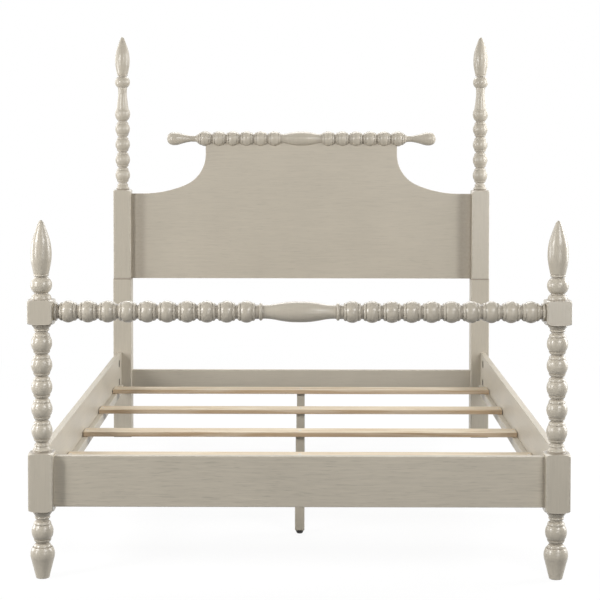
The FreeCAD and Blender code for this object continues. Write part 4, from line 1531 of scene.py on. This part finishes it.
@dataclass
class Studio:
    """White sweep, soft boxes and the camera at the photograph's angle."""

    floor_half: float = 40.0
    floor_seen: float = 0.9
    floor_lighting: float = 0.06
    floor_roughness: float = 0.9
    glow_share: float = 0.90
    glow_near: float = 1.2
    glow_far: float = 3.0
    glow_oval: Place = (1.0, 0.8, 0.0)
    ambient: float = 0.020
    camera_place: Place = (0.0168, -5.784, 1.3948)
    camera_tilt: float = 0.0414
    camera_pan: float = 0.00328
    camera_roll: float = 0.0012
    lens: float = 94.67
    sensor_width: float = 36.0
    shift_y: float = -0.1972
    clip_end: float = 200.0
    lamps: tuple[Lamp, ...] = (
        Lamp("key_front_left", (-3.30, -2.90, 1.00), (0.0, -0.6, 0.6), (0.30, 0.70), 26.0),
        Lamp("front_left", (-3.20, -2.60, 2.30), (0.0, -0.4, 0.6), (1.20, 1.20), 83.0),
        Lamp("front_right", (2.10, -4.10, 2.80), (0.2, -0.6, 0.6), (1.80, 1.20), 84.0),
        Lamp("low_right", (1.60, -5.00, 0.80), (0.2, -0.6, 0.6), (2.00, 1.00), 26.0),
        Lamp("side_left", (-3.80, 0.30, 2.20), (0.0, 0.0, 0.4), (2.00, 2.00), 23.0),
        Lamp("side_right", (3.80, 0.30, 2.20), (0.0, 0.0, 0.4), (2.00, 2.00), 102.0),
        Lamp("low_side_left", (-3.80, 0.30, 0.90), (0.0, 0.0, 0.4), (1.60, 1.20), 52.0),
        Lamp("low_side_right", (3.80, 0.30, 0.90), (0.0, 0.0, 0.4), (1.60, 1.20), 36.0),
        Lamp("back_left", (-3.20, 2.80, 2.40), (0.0, 0.0, 0.4), (2.00, 2.00), 32.0),
        Lamp("back_right", (3.20, 2.80, 2.40), (0.0, 0.0, 0.4), (2.00, 2.00), 38.0),
        Lamp("overhead_back", (0.0, 2.60, 3.60), (0.0, 0.0, 0.3), (3.00, 2.00), 86.0),
    )

    @staticmethod
    def is_seen(net: Wiring) -> Signal:
        """One for rays from the camera and for those that metal or glass sends on.

        Args:
            net: the net that asks.

        Returns:
            One or nought.
        """
        path = net.named(net.add("LightPath"))
        seen = path["Is Camera Ray"].maths("MAXIMUM", path["Is Glossy Ray"])
        return seen.maths("MAXIMUM", path["Is Transmission Ray"])

    def world(self) -> None:
        """White to the eye, an even grey light on the bed."""
        world = bpy.data.worlds.new("studio")
        bpy.context.scene.world = world
        world.use_nodes = True
        net = Wiring(world.node_tree)
        back = world.node_tree.nodes["Background"].inputs
        net.feed(back["Color"], WHITE)
        net.feed(back["Strength"], self.is_seen(net).spread(self.ambient, 1.0))

    def floor(self) -> None:
        """Pale floor that the camera sees as nearly white and that keeps the bed's shadow.

        To the eye a share of it glows white, all of it far from the bed; for the light on the bed it is dark.
        """
        half = self.floor_half
        points = np.array(((-half, -half, 0.0), (half, -half, 0.0), (half, half, 0.0), (-half, half, 0.0)))
        floor = mesh_piece("studio_floor", points, (np.array(((0, 1, 2, 3),)),))
        made = Finish("studio_floor")
        net = made.net
        seen = self.is_seen(net)
        made.set(Base_Color=net.blend(seen, (self.floor_lighting,) * 3, (self.floor_seen,) * 3),
                 Roughness=self.floor_roughness)
        glow = net.take("Emission", 0, {"Color": WHITE, "Strength": 1.0})
        away = net.take("VectorMath", "Value", {0: made.point * self.glow_oval}, operation="LENGTH")
        share = seen * away.step(self.glow_near, self.glow_far, self.glow_share, 1.0)
        mixed = net.take("MixShader", 0, {0: share, 1: Signal(net, made.shader.outputs[0]), 2: glow})
        net.feed(net.tree.nodes["Material Output"].inputs["Surface"], mixed)
        floor.data.materials.append(made.material)

    def camera(self) -> None:
        """Sets up the camera."""
        data = bpy.data.cameras.new("camera")
        data.lens = self.lens
        data.sensor_width = self.sensor_width
        data.shift_y = self.shift_y
        data.clip_end = self.clip_end
        camera = bpy.data.objects.new("camera", data)
        turn = (Matrix.Rotation(self.camera_pan, 4, "Z")
                @ Matrix.Rotation(math.pi / 2.0 - self.camera_tilt, 4, "X")
                @ Matrix.Rotation(self.camera_roll, 4, "Z"))
        camera.matrix_world = Matrix.Translation(self.camera_place) @ turn
        bpy.context.scene.collection.objects.link(camera)
        bpy.context.scene.camera = camera

    def build(self) -> None:
        """Sets the view transform and makes world, floor, lamps and camera."""
        bpy.context.scene.view_settings.view_transform = "Standard"
        self.world()
        self.floor()
        for lamp in self.lamps:
            lamp.hang()
        self.camera()


def main() -> None:
    """Loads the frame, builds and dresses each sub-assembly, then sets up the studio."""
    logging.basicConfig(level=logging.INFO, format="%(name)s %(message)s")
    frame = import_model()
    shop = Workshop(frame["nodes"], Effects())
    for part in (FootEnd(), Headboard(), SideFrames(), SlatDeck(), Glides()):
        part.build(shop)
        part.dress(shop)
    Studio().build()


if __name__ == "__main__":
    main()
